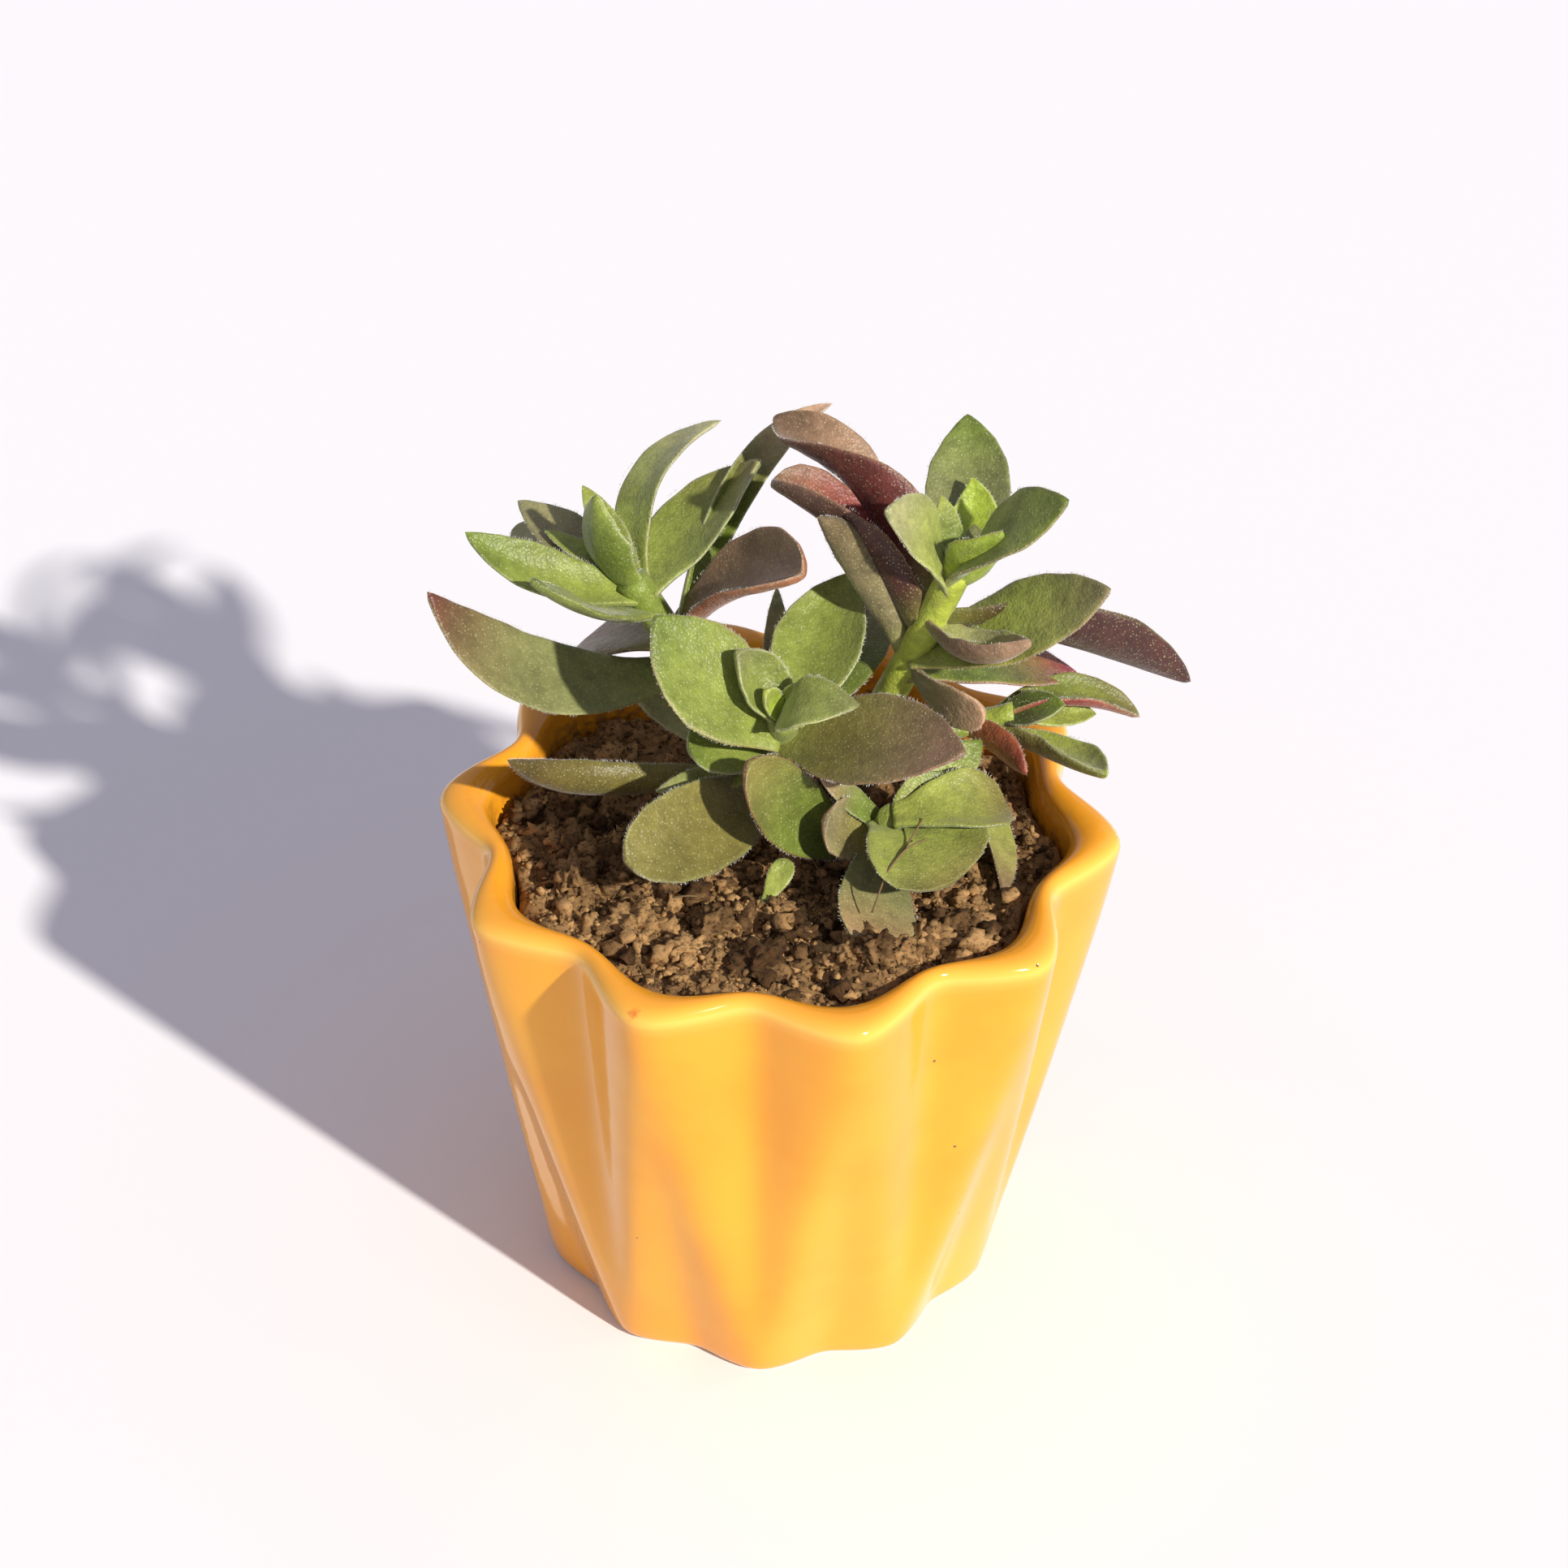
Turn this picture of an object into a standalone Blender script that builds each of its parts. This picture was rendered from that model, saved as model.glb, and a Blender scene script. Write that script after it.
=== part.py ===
# A small succulent with four leafy stems, rooted in soil in a ten-cornered glazed pot.
# Lengths below are in millimetres and angles in degrees, turned to metres on the way into a mesh.
# The pot stands on z = 0 with its axis on the z axis. Its viewer looks along +y.

import collections
import math

import bmesh
import bpy
import numpy as np

MM = 0.001

# The pot: ten corners at the rim and ten at the foot, half a pitch round from each other
CORNERS = 10
PITCH = 360 / CORNERS
POT_HEIGHT = 74
RIM_CORNER_RADIUS = 46.6
RIM_HOLLOW_RADIUS = 38.3
FOOT_CORNER_RADIUS = 31.6
FOOT_HOLLOW_RADIUS = 28.2
RIM_TURN = -4.2
FOOT_TURN = 16.3
OUTER_SOFTENING = 4
INNER_SOFTENING = 8
SOFTENING_WEIGHTS = {-1.5: 0.1, -0.75: 0.25, 0: 0.3, 0.75: 0.25, 1.5: 0.1}
BELLY_SWELL = 0.5
WALL = 5
FLOOR = 6
FLOOR_FILLET = 2
RIM_ROUNDING = 2.5
FOOT_ROUNDING = 1.4
POT_STEPS = 60
WAIST_HEIGHTS = (20, 40, 58)
INNER_HEIGHTS = (22, 38)

# The soil: it fills the pot, high at the front and low at the back
SOIL_TOP = 68
SOIL_SLOPE = -0.06
SOIL_GAP = 0.8
SOIL_LIFT = 0.3
SOIL_ROUGHNESS = 0.45
SOIL_EDGE = 0.995
SOIL_EDGE_DIP = 0.8
SOIL_SIDE = 62
SOIL_RINGS = (0.87, 0.71, 0.54, 0.37, 0.2)
CLODS = [
    (-26, -12, 3.2), (-18, -20, 3.4), (-11.5, -26, 2.4), (-8, -20, 2.6), (-2, -28, 3.0), (3, -21, 2.2),
    (20, -21.5, 2.6), (22.5, -18, 2.0), (-27, -2, 2.4), (-28, 7, 2.0), (29, -3, 2.0), (-22, 18, 2.6),
]
CLOD_FLATNESS = 0.8
CLOD_ROUGHNESS = 0.12

# The stems: rooted upright in plain holes, then leaning out
STEM_RADIUS = 2.2
BRANCH_RADIUS = 1.7
HOLE_GAP = 0.3
HOLE_TOP = 80
ROOT_DEPTH = 58
STEMS = {
    "centre": [(1, 8, ROOT_DEPTH), (1, 8, 69), (0, 4, 76), (-0.5, 0, 84), (0.5, -2.5, 91)],
    "left": [(-5, 14.5, ROOT_DEPTH), (-5, 14.5, 69), (-8, 15, 78), (-15, 15, 91), (-20, 15, 100)],
    "right": [(9.5, 12, ROOT_DEPTH), (9.5, 12, 69), (12, 11, 80), (17, 9, 93), (22.5, 8.5, 108)],
    "shoot": [(12, 11, 78), (21, 10, 80), (31, 9, 84)],
    "front": [(12, -1, ROOT_DEPTH), (12, -1, 69), (13, -5, 73), (15, -9, 80)],
}
# The way that the upper faces of each stem's leaves look
FACING = {
    "centre": (0, -0.45, 0.89),
    "left": (-0.2, 0, 0.98),
    "right": (0.15, -0.1, 0.98),
    "shoot": (0.6, -0.3, 0.75),
    "front": (0.4, -0.5, 0.77),
}
# The shoot is a side branch, so it belongs to the same piece as the stem it grows from
BRANCH_OF = {"shoot": "right"}

# A leaf: the height of its root on the stem, its tip, its width, how far its middle bows up and sways
# sideways, how far the blade rolls at its root and twists on from there to its tip, how deep it folds,
# and whether it ends pointed or blunt
Leaf = collections.namedtuple("Leaf", "height tip width bow sway roll twist fold shape")
POINTED = "pointed"
BLUNT = "blunt"
OUTLINE_STATIONS = (0, 0.12, 0.3, 0.5, 0.68, 0.84, 0.94, 1)
OUTLINES = {
    POINTED: (0.42, 0.55, 0.86, 1.0, 0.90, 0.60, 0.28, 0.06),
    BLUNT: (0.38, 0.46, 0.70, 0.93, 1.0, 0.89, 0.56, 0.12),
}
LEAVES = {
    "centre": [
        Leaf(88, (-16.5, 0.5, 104.5), 15.5, -0.5, -1.5, 10, -10, 0.3, POINTED),
        Leaf(90, (9, 18, 100), 13.5, -1.5, 0, 5, -20, 0.8, POINTED),
        Leaf(87, (23.5, -14.5, 95), 14.5, 0, 0, 5, -10, 0.35, POINTED),
        Leaf(90, (-6, -0.5, 100), 9, -1, 0.5, 0, 10, 1.0, POINTED),
        Leaf(90, (10, -7, 96.5), 8.5, 3.5, 0.5, -5, -5, 0.4, POINTED),
        Leaf(90, (-2, -3.5, 96), 4, -0.5, 0, 0, 0, 1.0, BLUNT),
        Leaf(90, (2.5, -2, 96), 4, -0.5, 0, 0, 0, 1.0, BLUNT),
        Leaf(86, (11, 25, 91), 14, 0, 0, 0, 0, 0.4, BLUNT),
        Leaf(84, (-12, -5, 87.5), 9, 0, 0, 0, 0, 0.4, BLUNT),
        Leaf(80, (-16, -8.5, 83), 4.5, 0, 0, 0, 0, 0.3, POINTED),
        Leaf(80.5, (-35, -9, 88), 7, -9, 1, 75, 60, 1.0, POINTED),
        Leaf(76, (-19.5, -20.5, 81), 13, 1, -1.5, -25, 0, 0.6, BLUNT),
        Leaf(84, (-1, 25, 92.5), 4, 0, 0, 0, 0, 0.5, POINTED),
        Leaf(80, (-20, 17, 79.5), 6, 0, 0, 0, 0, 0.4, POINTED),
    ],
    "left": [
        Leaf(97, (-41.5, 12.5, 108.5), 8.5, -2, -0.5, -10, -35, 0.9, POINTED),
        Leaf(95, (-32.5, 5, 106.5), 10, -2, 0, 0, 0, 0.4, POINTED),
        Leaf(98, (-36, 30, 102), 8, 0, 0, 0, 0, 0.4, POINTED),
        Leaf(97, (-36.5, 33.5, 95.5), 8, 0, 0, 0, 0, 0.4, BLUNT),
        Leaf(99, (-32, 23, 102), 4, 0, 0, 0, 0, 0.6, POINTED),
        Leaf(98, (-24.5, 17.5, 111.5), 10.5, -2, -2, 90, -5, 0.8, POINTED),
        Leaf(98, (-27, 25, 108), 5, 0, 0, 0, 0, 0.8, POINTED),
        Leaf(97, (-9, 41, 108.5), 7, 4, -4.5, -15, 5, 0.5, POINTED),
        Leaf(98, (-3.5, 30, 109.5), 12.5, -1, -1.5, 20, -35, 0.6, POINTED),
        Leaf(89, (6, 47.5, 107.5), 6.5, 8, 0.5, 65, -40, 1.3, POINTED),
        Leaf(90, (2.5, 4, 109), 14, 2, -2.5, 15, 0, 1.25, BLUNT),
        Leaf(86, (-46, 6, 103.5), 12, -7, -1, -15, -25, 0.3, POINTED),
        Leaf(90, (-27, 24.5, 82.5), 12, 1, 0, 0, 0, 0.3, BLUNT),
    ],
    "right": [
        Leaf(107, (23.5, 29, 118), 12, -1, 1, -15, 5, 0.6, POINTED),
        Leaf(105, (35.5, 3, 122), 11, 1, 0, -15, 60, 0.4, POINTED),
        Leaf(104, (12.5, 4, 119), 10, 1.5, 1.5, -15, -25, 0.4, POINTED),
        Leaf(108, (24, 18.5, 115), 7.5, -2, 1.5, -25, 15, 0.8, POINTED),
        Leaf(105, (27.5, 4.5, 116), 9, -0.5, 0.5, -70, 55, 1.0, POINTED),
        Leaf(107, (20, 15.5, 114), 4, 0, 0, 0, 0, 0.8, POINTED),
        Leaf(93, (41.5, 1, 110), 13, -1, -0.5, 10, 25, 0.3, POINTED),
        Leaf(99, (54.5, 14.5, 86), 12.5, 3, 0.5, -50, -25, 0.9, POINTED),
        Leaf(99, (31.5, -3, 104.5), 10.5, -3.5, 1, -20, 10, 1.3, POINTED),
        Leaf(95, (15, 24, 100.5), 5.5, 0, 0, 0, 0, 0.5, POINTED),
        Leaf(92, (4, 6, 116.5), 7, 1.5, 2.5, 120, 5, 1.2, POINTED),
        Leaf(96, (-2, 18, 114), 14, 3, 0, 70, -60, 1.3, BLUNT),
        Leaf(100.5, (-2, 33.5, 114), 15, 3.5, 0, 165, -210, 1.1, POINTED),
        Leaf(90, (40, 19, 83), 11, 2, 0, 0, 0, 0.4, POINTED),
        Leaf(92, (26.5, -0.5, 91), 7.5, -1, 1, 110, -15, 0.4, BLUNT),
    ],
    "shoot": [
        Leaf(79.8, (29.5, -13, 70.5), 5.5, 0, -4, 0, 0, 0.5, POINTED),
        Leaf(81, (32.5, 1, 80), 6, 1, -0.5, -60, -20, 0.5, POINTED),
        Leaf(83, (48, 13, 81), 7.5, 2, -2, -35, 20, 1.3, POINTED),
        Leaf(83, (37.5, 8, 86.5), 6, 0, 0, 0, 0, 0.8, POINTED),
        Leaf(83.8, (42, 11.5, 82.5), 5, 0, 0, 0, 0, 0.8, POINTED),
        Leaf(82, (42.5, -4, 84), 9, -2, -3.5, -35, 45, 1.2, POINTED),
    ],
    "front": [
        Leaf(78, (22.5, -19, 77.5), 18.5, 1, 0.5, -10, 15, 0.4, BLUNT),
        Leaf(80, (29.5, -4.5, 79), 11, 2, 0, -25, 5, 0.8, BLUNT),
        Leaf(79, (26.5, 3, 84), 7, 0, 0, 0, 0, 0.4, POINTED),
        Leaf(79, (21.5, -3.5, 83.5), 6, 0, 0, 0, 0, 0.6, POINTED),
        Leaf(79, (18.5, -7.5, 80), 3, 0, 0, 0, 0, 0.8, POINTED),
        Leaf(77, (6, -12.5, 82.5), 8.5, -1.5, -0.5, 0, -20, 0.4, BLUNT),
        Leaf(72, (-4, -12, 91), 11, -2, -2, -40, 25, 0.7, BLUNT),
        Leaf(77, (5, -8, 86), 4, 0, 0, 0, 0, 0.5, POINTED),
        Leaf(75, (12.5, -26, 72), 11.5, -0.5, 0, -15, 25, 0.3, BLUNT),
    ],
}
# A blade is thickest along its middle near the root, and thins to its margins and its tip
MARGIN_THICKNESS = 0.7
THICKEST = 1.7
THICKNESS_AT_NO_WIDTH = 0.8
THICKNESS_PER_WIDTH = 0.09
THINNING_TO_TIP = 0.3
THINNING_TO_MARGIN = 0.55
STRAIGHT_SECTION = 3
WIDE_LEAF = 8.5
WIDE_STATIONS = (0, 0.15, 0.35, 0.55, 0.75, 0.9, 1)
NARROW_STATIONS = (0, 0.25, 0.5, 0.78, 1)

# A single small leaf that stands in the soil by itself
SPROUT_ROOT = (-1.5, -14.5)
SPROUT_TIP = (1.5, -10.5, 74)
SPROUT_WIDTH = 3.4
SPROUT_DEPTH = 65
SPROUT_RADIUS = 0.9
SPROUT_COLLAR = 2.5

# Linear colours of the leaves, greener on the centre and left stems, older and browner on the right one
LEAF_COLOURS = {
    "centre": (0.16, 0.27, 0.06),
    "left": (0.22, 0.32, 0.09),
    "right": (0.17, 0.17, 0.08),
    "front": (0.20, 0.25, 0.09),
}
SPROUT_COLOUR = (0.30, 0.36, 0.09)
LEAF_ROUGHNESS = 0.55
SMOOTH_ANGLE = 40


def principled(name, colour, roughness):
    """A plain material, its colour in linear values."""
    material = bpy.data.materials.new(name)
    material.use_nodes = True
    shader = material.node_tree.nodes["Principled BSDF"]
    shader.inputs["Base Color"].default_value = (*colour, 1)
    shader.inputs["Roughness"].default_value = roughness
    shader.inputs["Metallic"].default_value = 0
    return material


def new_object(name, points, faces, collection, material=None):
    """A mesh object from millimetre points, its faces split to triangles and turned outward."""
    mesh = bpy.data.meshes.new(name)
    mesh.from_pydata([tuple(float(v) * MM for v in point) for point in points], [], faces)
    shaped = bmesh.new()
    shaped.from_mesh(mesh)
    bmesh.ops.triangulate(shaped, faces=[face for face in shaped.faces if len(face.verts) > 4])
    bmesh.ops.recalc_face_normals(shaped, faces=shaped.faces)
    shaped.to_mesh(mesh)
    shaped.free()
    return placed(name, mesh, collection, material)


def placed(name, mesh, collection, material):
    """Puts a mesh in the scene. One without a material is a helper that only shapes another."""
    thing = bpy.data.objects.new(name, mesh)
    if material:
        mesh.materials.append(material)
    else:
        thing.hide_render = True
        thing.display_type = "WIRE"
    collection.objects.link(thing)
    return thing


def smoothed(thing):
    """Shades the faces smooth, with sharp edges where they meet at more than a shallow angle."""
    thing.data.shade_smooth()
    thing.data.set_sharp_from_angle(angle=math.radians(SMOOTH_ANGLE))
    return thing


def loft(rings):
    """Points and faces of a closed body through rings of equally many points, capped at both ends."""
    count = len(rings[0])
    points = [point for ring in rings for point in ring]
    faces = [tuple(range(count))]
    for row in range(len(rings) - 1):
        for step in range(count):
            after = (step + 1) % count
            a, b = row * count + step, row * count + after
            c, d = b + count, a + count
            faces += [(a, b, c), (a, c, d)] if step < count // 2 else [(a, b, d), (b, c, d)]
    faces.append(tuple(range(len(points) - count, len(points))))
    return points, faces


def unit(vector):
    vector = np.asarray(vector, float)
    return vector / np.linalg.norm(vector)


def turned(vector, axis, angle):
    """The vector turned about a unit axis by an angle in degrees."""
    cosine, sine = math.cos(math.radians(angle)), math.sin(math.radians(angle))
    return vector * cosine + np.cross(axis, vector) * sine + axis * (axis @ vector) * (1 - cosine)


def on_path(path, height):
    """The point of a rising path at a height."""
    path = np.array(path, float)
    return np.array([np.interp(height, path[:, 2], path[:, axis]) for axis in range(3)])


def leaf_rings(leaf, root, facing):
    """Rings round a fleshy blade, from its root in the stem to its tip: the upper face, then the lower."""
    wide = leaf.width >= WIDE_LEAF
    across = (-1, -0.5, 0, 0.5, 1) if wide else (-1, 0, 1)
    chord = np.array(leaf.tip, float) - root
    way = unit(chord)
    face = unit(unit(facing) - way * (way @ unit(facing)))
    side = np.cross(way, face)
    arch = face * leaf.bow + side * leaf.sway
    rings = []
    for along in WIDE_STATIONS if wide else NARROW_STATIONS:
        middle = root + chord * along + arch * 4 * along * (1 - along)
        forward = unit(chord + arch * 4 * (1 - 2 * along))
        upward = unit(face - forward * (face @ forward))
        upward = turned(upward, forward, leaf.roll + leaf.twist * along)
        sideways = np.cross(forward, upward)
        half = leaf.width / 2 * np.interp(along, OUTLINE_STATIONS, OUTLINES[leaf.shape])
        body = min(THICKEST, THICKNESS_AT_NO_WIDTH + THICKNESS_PER_WIDTH * leaf.width)
        body *= 1 - THINNING_TO_TIP * along
        upper, lower = [], []
        for x in across:
            swing = leaf.fold * x
            lean = swing * min(1, half / STRAIGHT_SECTION)
            point = middle + sideways * half * math.sin(swing) / leaf.fold
            point = point + upward * half * (1 - math.cos(swing)) / leaf.fold
            normal = upward * math.cos(lean) - sideways * math.sin(lean)
            thickness = max(MARGIN_THICKNESS, body * (1 - THINNING_TO_MARGIN * x * x))
            upper.append(point + normal * thickness / 2)
            lower.append(point - normal * thickness / 2)
        rings.append(upper + lower[::-1])
    return rings


def stem_object(name, path, radius, collection, material=None):
    """A round stem along a path, made from a bevelled curve."""
    curve = bpy.data.curves.new(name, "CURVE")
    curve.dimensions = "3D"
    curve.bevel_depth = radius * MM
    curve.bevel_resolution = 1
    curve.use_fill_caps = True
    spline = curve.splines.new("POLY")
    spline.points.add(len(path) - 1)
    for target, point in zip(spline.points, path):
        target.co = (*[value * MM for value in point], 1)
    guide = bpy.data.objects.new(name + "_guide", curve)
    collection.objects.link(guide)
    graph = bpy.context.evaluated_depsgraph_get()
    mesh = bpy.data.meshes.new_from_object(guide.evaluated_get(graph))
    bpy.data.objects.remove(guide)
    shaped = bmesh.new()
    shaped.from_mesh(mesh)
    bmesh.ops.remove_doubles(shaped, verts=shaped.verts, dist=1e-6)
    bmesh.ops.recalc_face_normals(shaped, faces=shaped.faces)
    shaped.to_mesh(mesh)
    shaped.free()
    mesh.name = name
    mesh.materials.clear()
    return placed(name, mesh, collection, material)


def boolean(target, operation, tools):
    """Joins or cuts every object of a collection at once, applies it, and clears the collection."""
    modifier = target.modifiers.new("Shape", "BOOLEAN")
    modifier.operation = operation
    modifier.operand_type = "COLLECTION"
    modifier.collection = tools
    modifier.solver = "EXACT"
    modifier.use_self = operation == "UNION"
    with bpy.context.temp_override(object=target):
        bpy.ops.object.modifier_apply(modifier=modifier.name)
    for tool in list(tools.objects):
        bpy.data.objects.remove(tool)


def largest_body(thing):
    """Keeps the biggest connected body of a mesh, so no loose scrap is left over from joining."""
    shaped = bmesh.new()
    shaped.from_mesh(thing.data)
    unseen = set(shaped.verts)
    bodies = []
    while unseen:
        reached = [unseen.pop()]
        for vert in reached:
            for edge in vert.link_edges:
                other = edge.other_vert(vert)
                if other in unseen:
                    unseen.remove(other)
                    reached.append(other)
        bodies.append(reached)
    bodies.sort(key=len)
    for body in bodies[:-1]:
        bmesh.ops.delete(shaped, geom=body, context="VERTS")
    shaped.to_mesh(thing.data)
    shaped.free()


def corner_polygon(share):
    """The outline at a share of the height: corners and hollows as (angle, radius), straight between."""
    outline = []
    for number in range(CORNERS):
        rim_corner = RIM_TURN + number * PITCH
        foot_corner = FOOT_TURN + number * PITCH
        foot_hollow = foot_corner - PITCH / 2
        rim_hollow = rim_corner + PITCH / 2
        ends = [
            ((foot_hollow, FOOT_HOLLOW_RADIUS), (rim_corner, RIM_CORNER_RADIUS)),
            ((foot_corner, FOOT_CORNER_RADIUS), (rim_corner, RIM_CORNER_RADIUS)),
            ((foot_corner, FOOT_CORNER_RADIUS), (rim_hollow, RIM_HOLLOW_RADIUS)),
            ((foot_corner, FOOT_CORNER_RADIUS), (rim_corner + PITCH, RIM_CORNER_RADIUS)),
        ]
        for low, high in ends:
            x, y = 0, 0
            for (angle, radius), weight in ((low, 1 - share), (high, share)):
                x += weight * radius * math.cos(math.radians(angle))
                y += weight * radius * math.sin(math.radians(angle))
            outline.append((math.degrees(math.atan2(y, x)) % 360, math.hypot(x, y)))
    return sorted(outline)


def pot_radii(height, inset):
    """The softened radius at each step round, at a height and moved in from the outside by an inset."""
    outline = corner_polygon(height / POT_HEIGHT)
    angles = [angle for angle, _ in outline]
    radii = [radius for _, radius in outline]
    swell = BELLY_SWELL * math.sin(math.pi * height / POT_HEIGHT)
    softening = OUTER_SOFTENING + (INNER_SOFTENING - OUTER_SOFTENING) * min(1, inset / WALL)
    softened = []
    for step in range(POT_STEPS):
        angle = RIM_TURN + step * 360 / POT_STEPS
        radius = swell - inset
        for offset, weight in SOFTENING_WEIGHTS.items():
            near = (angle + softening * offset) % 360
            radius += weight * float(np.interp(near, angles, radii, period=360))
        softened.append(radius)
    return softened


def round_pot(radii, height):
    """A ring of points at a height from the radii at each step round."""
    ring = []
    for step, radius in enumerate(radii):
        angle = math.radians(RIM_TURN + step * 360 / POT_STEPS)
        ring.append((radius * math.cos(angle), radius * math.sin(angle), height))
    return ring


def pot_ring(height, inset):
    return round_pot(pot_radii(height, inset), height)


def build_pot(collection):
    """The pot as one skin: up the outside, over the rounded rim and down the inside."""
    shoulder = POT_HEIGHT - RIM_ROUNDING
    brow = POT_HEIGHT - 0.3 * RIM_ROUNDING
    rings = [pot_ring(0, FOOT_ROUNDING), pot_ring(FOOT_ROUNDING, 0)]
    rings += [pot_ring(height, 0) for height in WAIST_HEIGHTS + (shoulder,)]
    rings += [pot_ring(brow, 0.3 * RIM_ROUNDING), pot_ring(POT_HEIGHT, RIM_ROUNDING)]
    rings += [pot_ring(brow, WALL - 0.3 * RIM_ROUNDING), pot_ring(shoulder, WALL)]
    rings += [pot_ring(height, WALL) for height in (SOIL_SIDE,) + INNER_HEIGHTS[::-1]]
    rings.append(pot_ring(FLOOR + FLOOR_FILLET, WALL))
    rings.append(pot_ring(FLOOR, WALL + FLOOR_FILLET))
    glaze = principled("yellow_glaze", (0.93, 0.40, 0.03), 0.12)
    return smoothed(new_object("pot", *loft(rings), collection, glaze))


def soil_height(x, y):
    return SOIL_TOP + SOIL_SLOPE * y


def build_soil(collection, tools):
    """The soil: a body a little smaller than the inside of the pot, its top rough, with clods and holes."""
    draw = np.random.default_rng(7)
    inset = WALL + SOIL_GAP
    rings = [pot_ring(FLOOR + SOIL_LIFT, inset + FLOOR_FILLET), pot_ring(FLOOR + FLOOR_FILLET, inset)]
    rings += [pot_ring(height, inset) for height in INNER_HEIGHTS]
    outer = pot_radii(SOIL_SIDE, inset)
    rings.append(round_pot(outer, SOIL_SIDE))
    for share in (SOIL_EDGE,) + SOIL_RINGS:
        dip = SOIL_EDGE_DIP if share == SOIL_EDGE else 0
        ring = []
        for x, y, _ in round_pot([radius * share for radius in outer], 0):
            ring.append((x, y, soil_height(x, y) + draw.normal(0, SOIL_ROUGHNESS) - dip))
        rings.append(ring)
    brown = principled("brown_soil", (0.15, 0.085, 0.045), 0.95)
    soil = new_object("soil", *loft(rings), collection, brown)
    for x, y, radius in CLODS:
        shaped = bmesh.new()
        bmesh.ops.create_icosphere(shaped, subdivisions=2, radius=radius)
        points = []
        for vert in shaped.verts:
            grown = vert.co * (1 + draw.normal(0, CLOD_ROUGHNESS))
            points.append((x + grown.x, y + grown.y, soil_height(x, y) + grown.z * CLOD_FLATNESS))
        faces = [tuple(vert.index for vert in face.verts) for face in shaped.faces]
        shaped.free()
        new_object("clod", points, faces, tools)
    boolean(soil, "UNION", tools)
    for name, path in STEMS.items():
        if name not in BRANCH_OF:
            x, y, _ = path[0]
            root = [(x, y, ROOT_DEPTH - HOLE_GAP), (x, y, HOLE_TOP)]
            stem_object("hole", root, STEM_RADIUS + 2 * HOLE_GAP, tools)
    root = [(*SPROUT_ROOT, SPROUT_DEPTH - HOLE_GAP), (*SPROUT_ROOT, HOLE_TOP)]
    stem_object("hole", root, SPROUT_RADIUS + 2 * HOLE_GAP, tools)
    boolean(soil, "DIFFERENCE", tools)
    largest_body(soil)
    return soil


def build_stem(name, collection, tools, material):
    """A stem with its side branches and every leaf joined into one body."""
    stem = stem_object("stem_" + name, STEMS[name], STEM_RADIUS, collection, material)
    grown = [name] + [branch for branch, parent in BRANCH_OF.items() if parent == name]
    for part in grown:
        if part != name:
            stem_object("branch", STEMS[part], BRANCH_RADIUS, tools)
        for leaf in LEAVES[part]:
            root = on_path(STEMS[part], leaf.height)
            new_object("leaf", *loft(leaf_rings(leaf, root, FACING[part])), tools)
    boolean(stem, "UNION", tools)
    largest_body(stem)
    return smoothed(stem)


def build_sprout(collection, tools, material):
    """The single small leaf on its own short root."""
    x, y = SPROUT_ROOT
    path = [(x, y, SPROUT_DEPTH), (x, y, SOIL_TOP + SPROUT_COLLAR)]
    sprout = stem_object("sprout_leaf", path, SPROUT_RADIUS, collection, material)
    root = np.array((x, y, SOIL_TOP + SPROUT_COLLAR - 1))
    leaf = Leaf(0, SPROUT_TIP, SPROUT_WIDTH, 0, 0, 0, 0, 0.5, BLUNT)
    new_object("leaf", *loft(leaf_rings(leaf, root, (0, -0.6, 0.8))), tools)
    boolean(sprout, "UNION", tools)
    largest_body(sprout)
    return smoothed(sprout)


def main():
    for thing in list(bpy.data.objects):
        bpy.data.objects.remove(thing)
    plant = bpy.data.collections.new("potted_kiwi_aeonium")
    tools = bpy.data.collections.new("joining_tools")
    tools.hide_render = True
    for collection in (plant, tools):
        bpy.context.scene.collection.children.link(collection)
    build_pot(plant)
    build_soil(plant, tools)
    for name, colour in LEAF_COLOURS.items():
        build_stem(name, plant, tools, principled("leaf_" + name, colour, LEAF_ROUGHNESS))
    build_sprout(plant, tools, principled("leaf_sprout", SPROUT_COLOUR, LEAF_ROUGHNESS))


main()
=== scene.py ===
# %% [markdown]
# # A small succulent in a folded glazed pot
# This lesson dresses a finished model of a potted plant: a glazed pot with ten folds, potting soil and four
# leafy stems. The model's solids come from a packed file and stay where they are. Each step makes one piece
# finer, or gives it its finish. Lengths are typed in millimetres, because the plant is small, and the helper
# value MM turns them to Blender's metres.

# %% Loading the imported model
import collections
import math

import bmesh
import bpy
import numpy as np
from mathutils import Matrix, Vector, noise


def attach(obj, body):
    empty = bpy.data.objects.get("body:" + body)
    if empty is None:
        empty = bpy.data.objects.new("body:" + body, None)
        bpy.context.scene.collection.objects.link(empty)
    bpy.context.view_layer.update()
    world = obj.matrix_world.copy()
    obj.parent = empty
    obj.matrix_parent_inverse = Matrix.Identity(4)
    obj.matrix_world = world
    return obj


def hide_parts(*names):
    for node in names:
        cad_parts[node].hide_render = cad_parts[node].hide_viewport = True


MM = 0.001
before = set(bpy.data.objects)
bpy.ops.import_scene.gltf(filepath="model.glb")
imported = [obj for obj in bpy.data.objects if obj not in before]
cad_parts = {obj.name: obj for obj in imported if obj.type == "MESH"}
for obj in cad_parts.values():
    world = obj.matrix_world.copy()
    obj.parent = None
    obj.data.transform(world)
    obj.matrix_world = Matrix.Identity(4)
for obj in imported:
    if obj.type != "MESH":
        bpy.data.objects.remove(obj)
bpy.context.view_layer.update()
print("solids:", ", ".join(sorted(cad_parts)))

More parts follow.
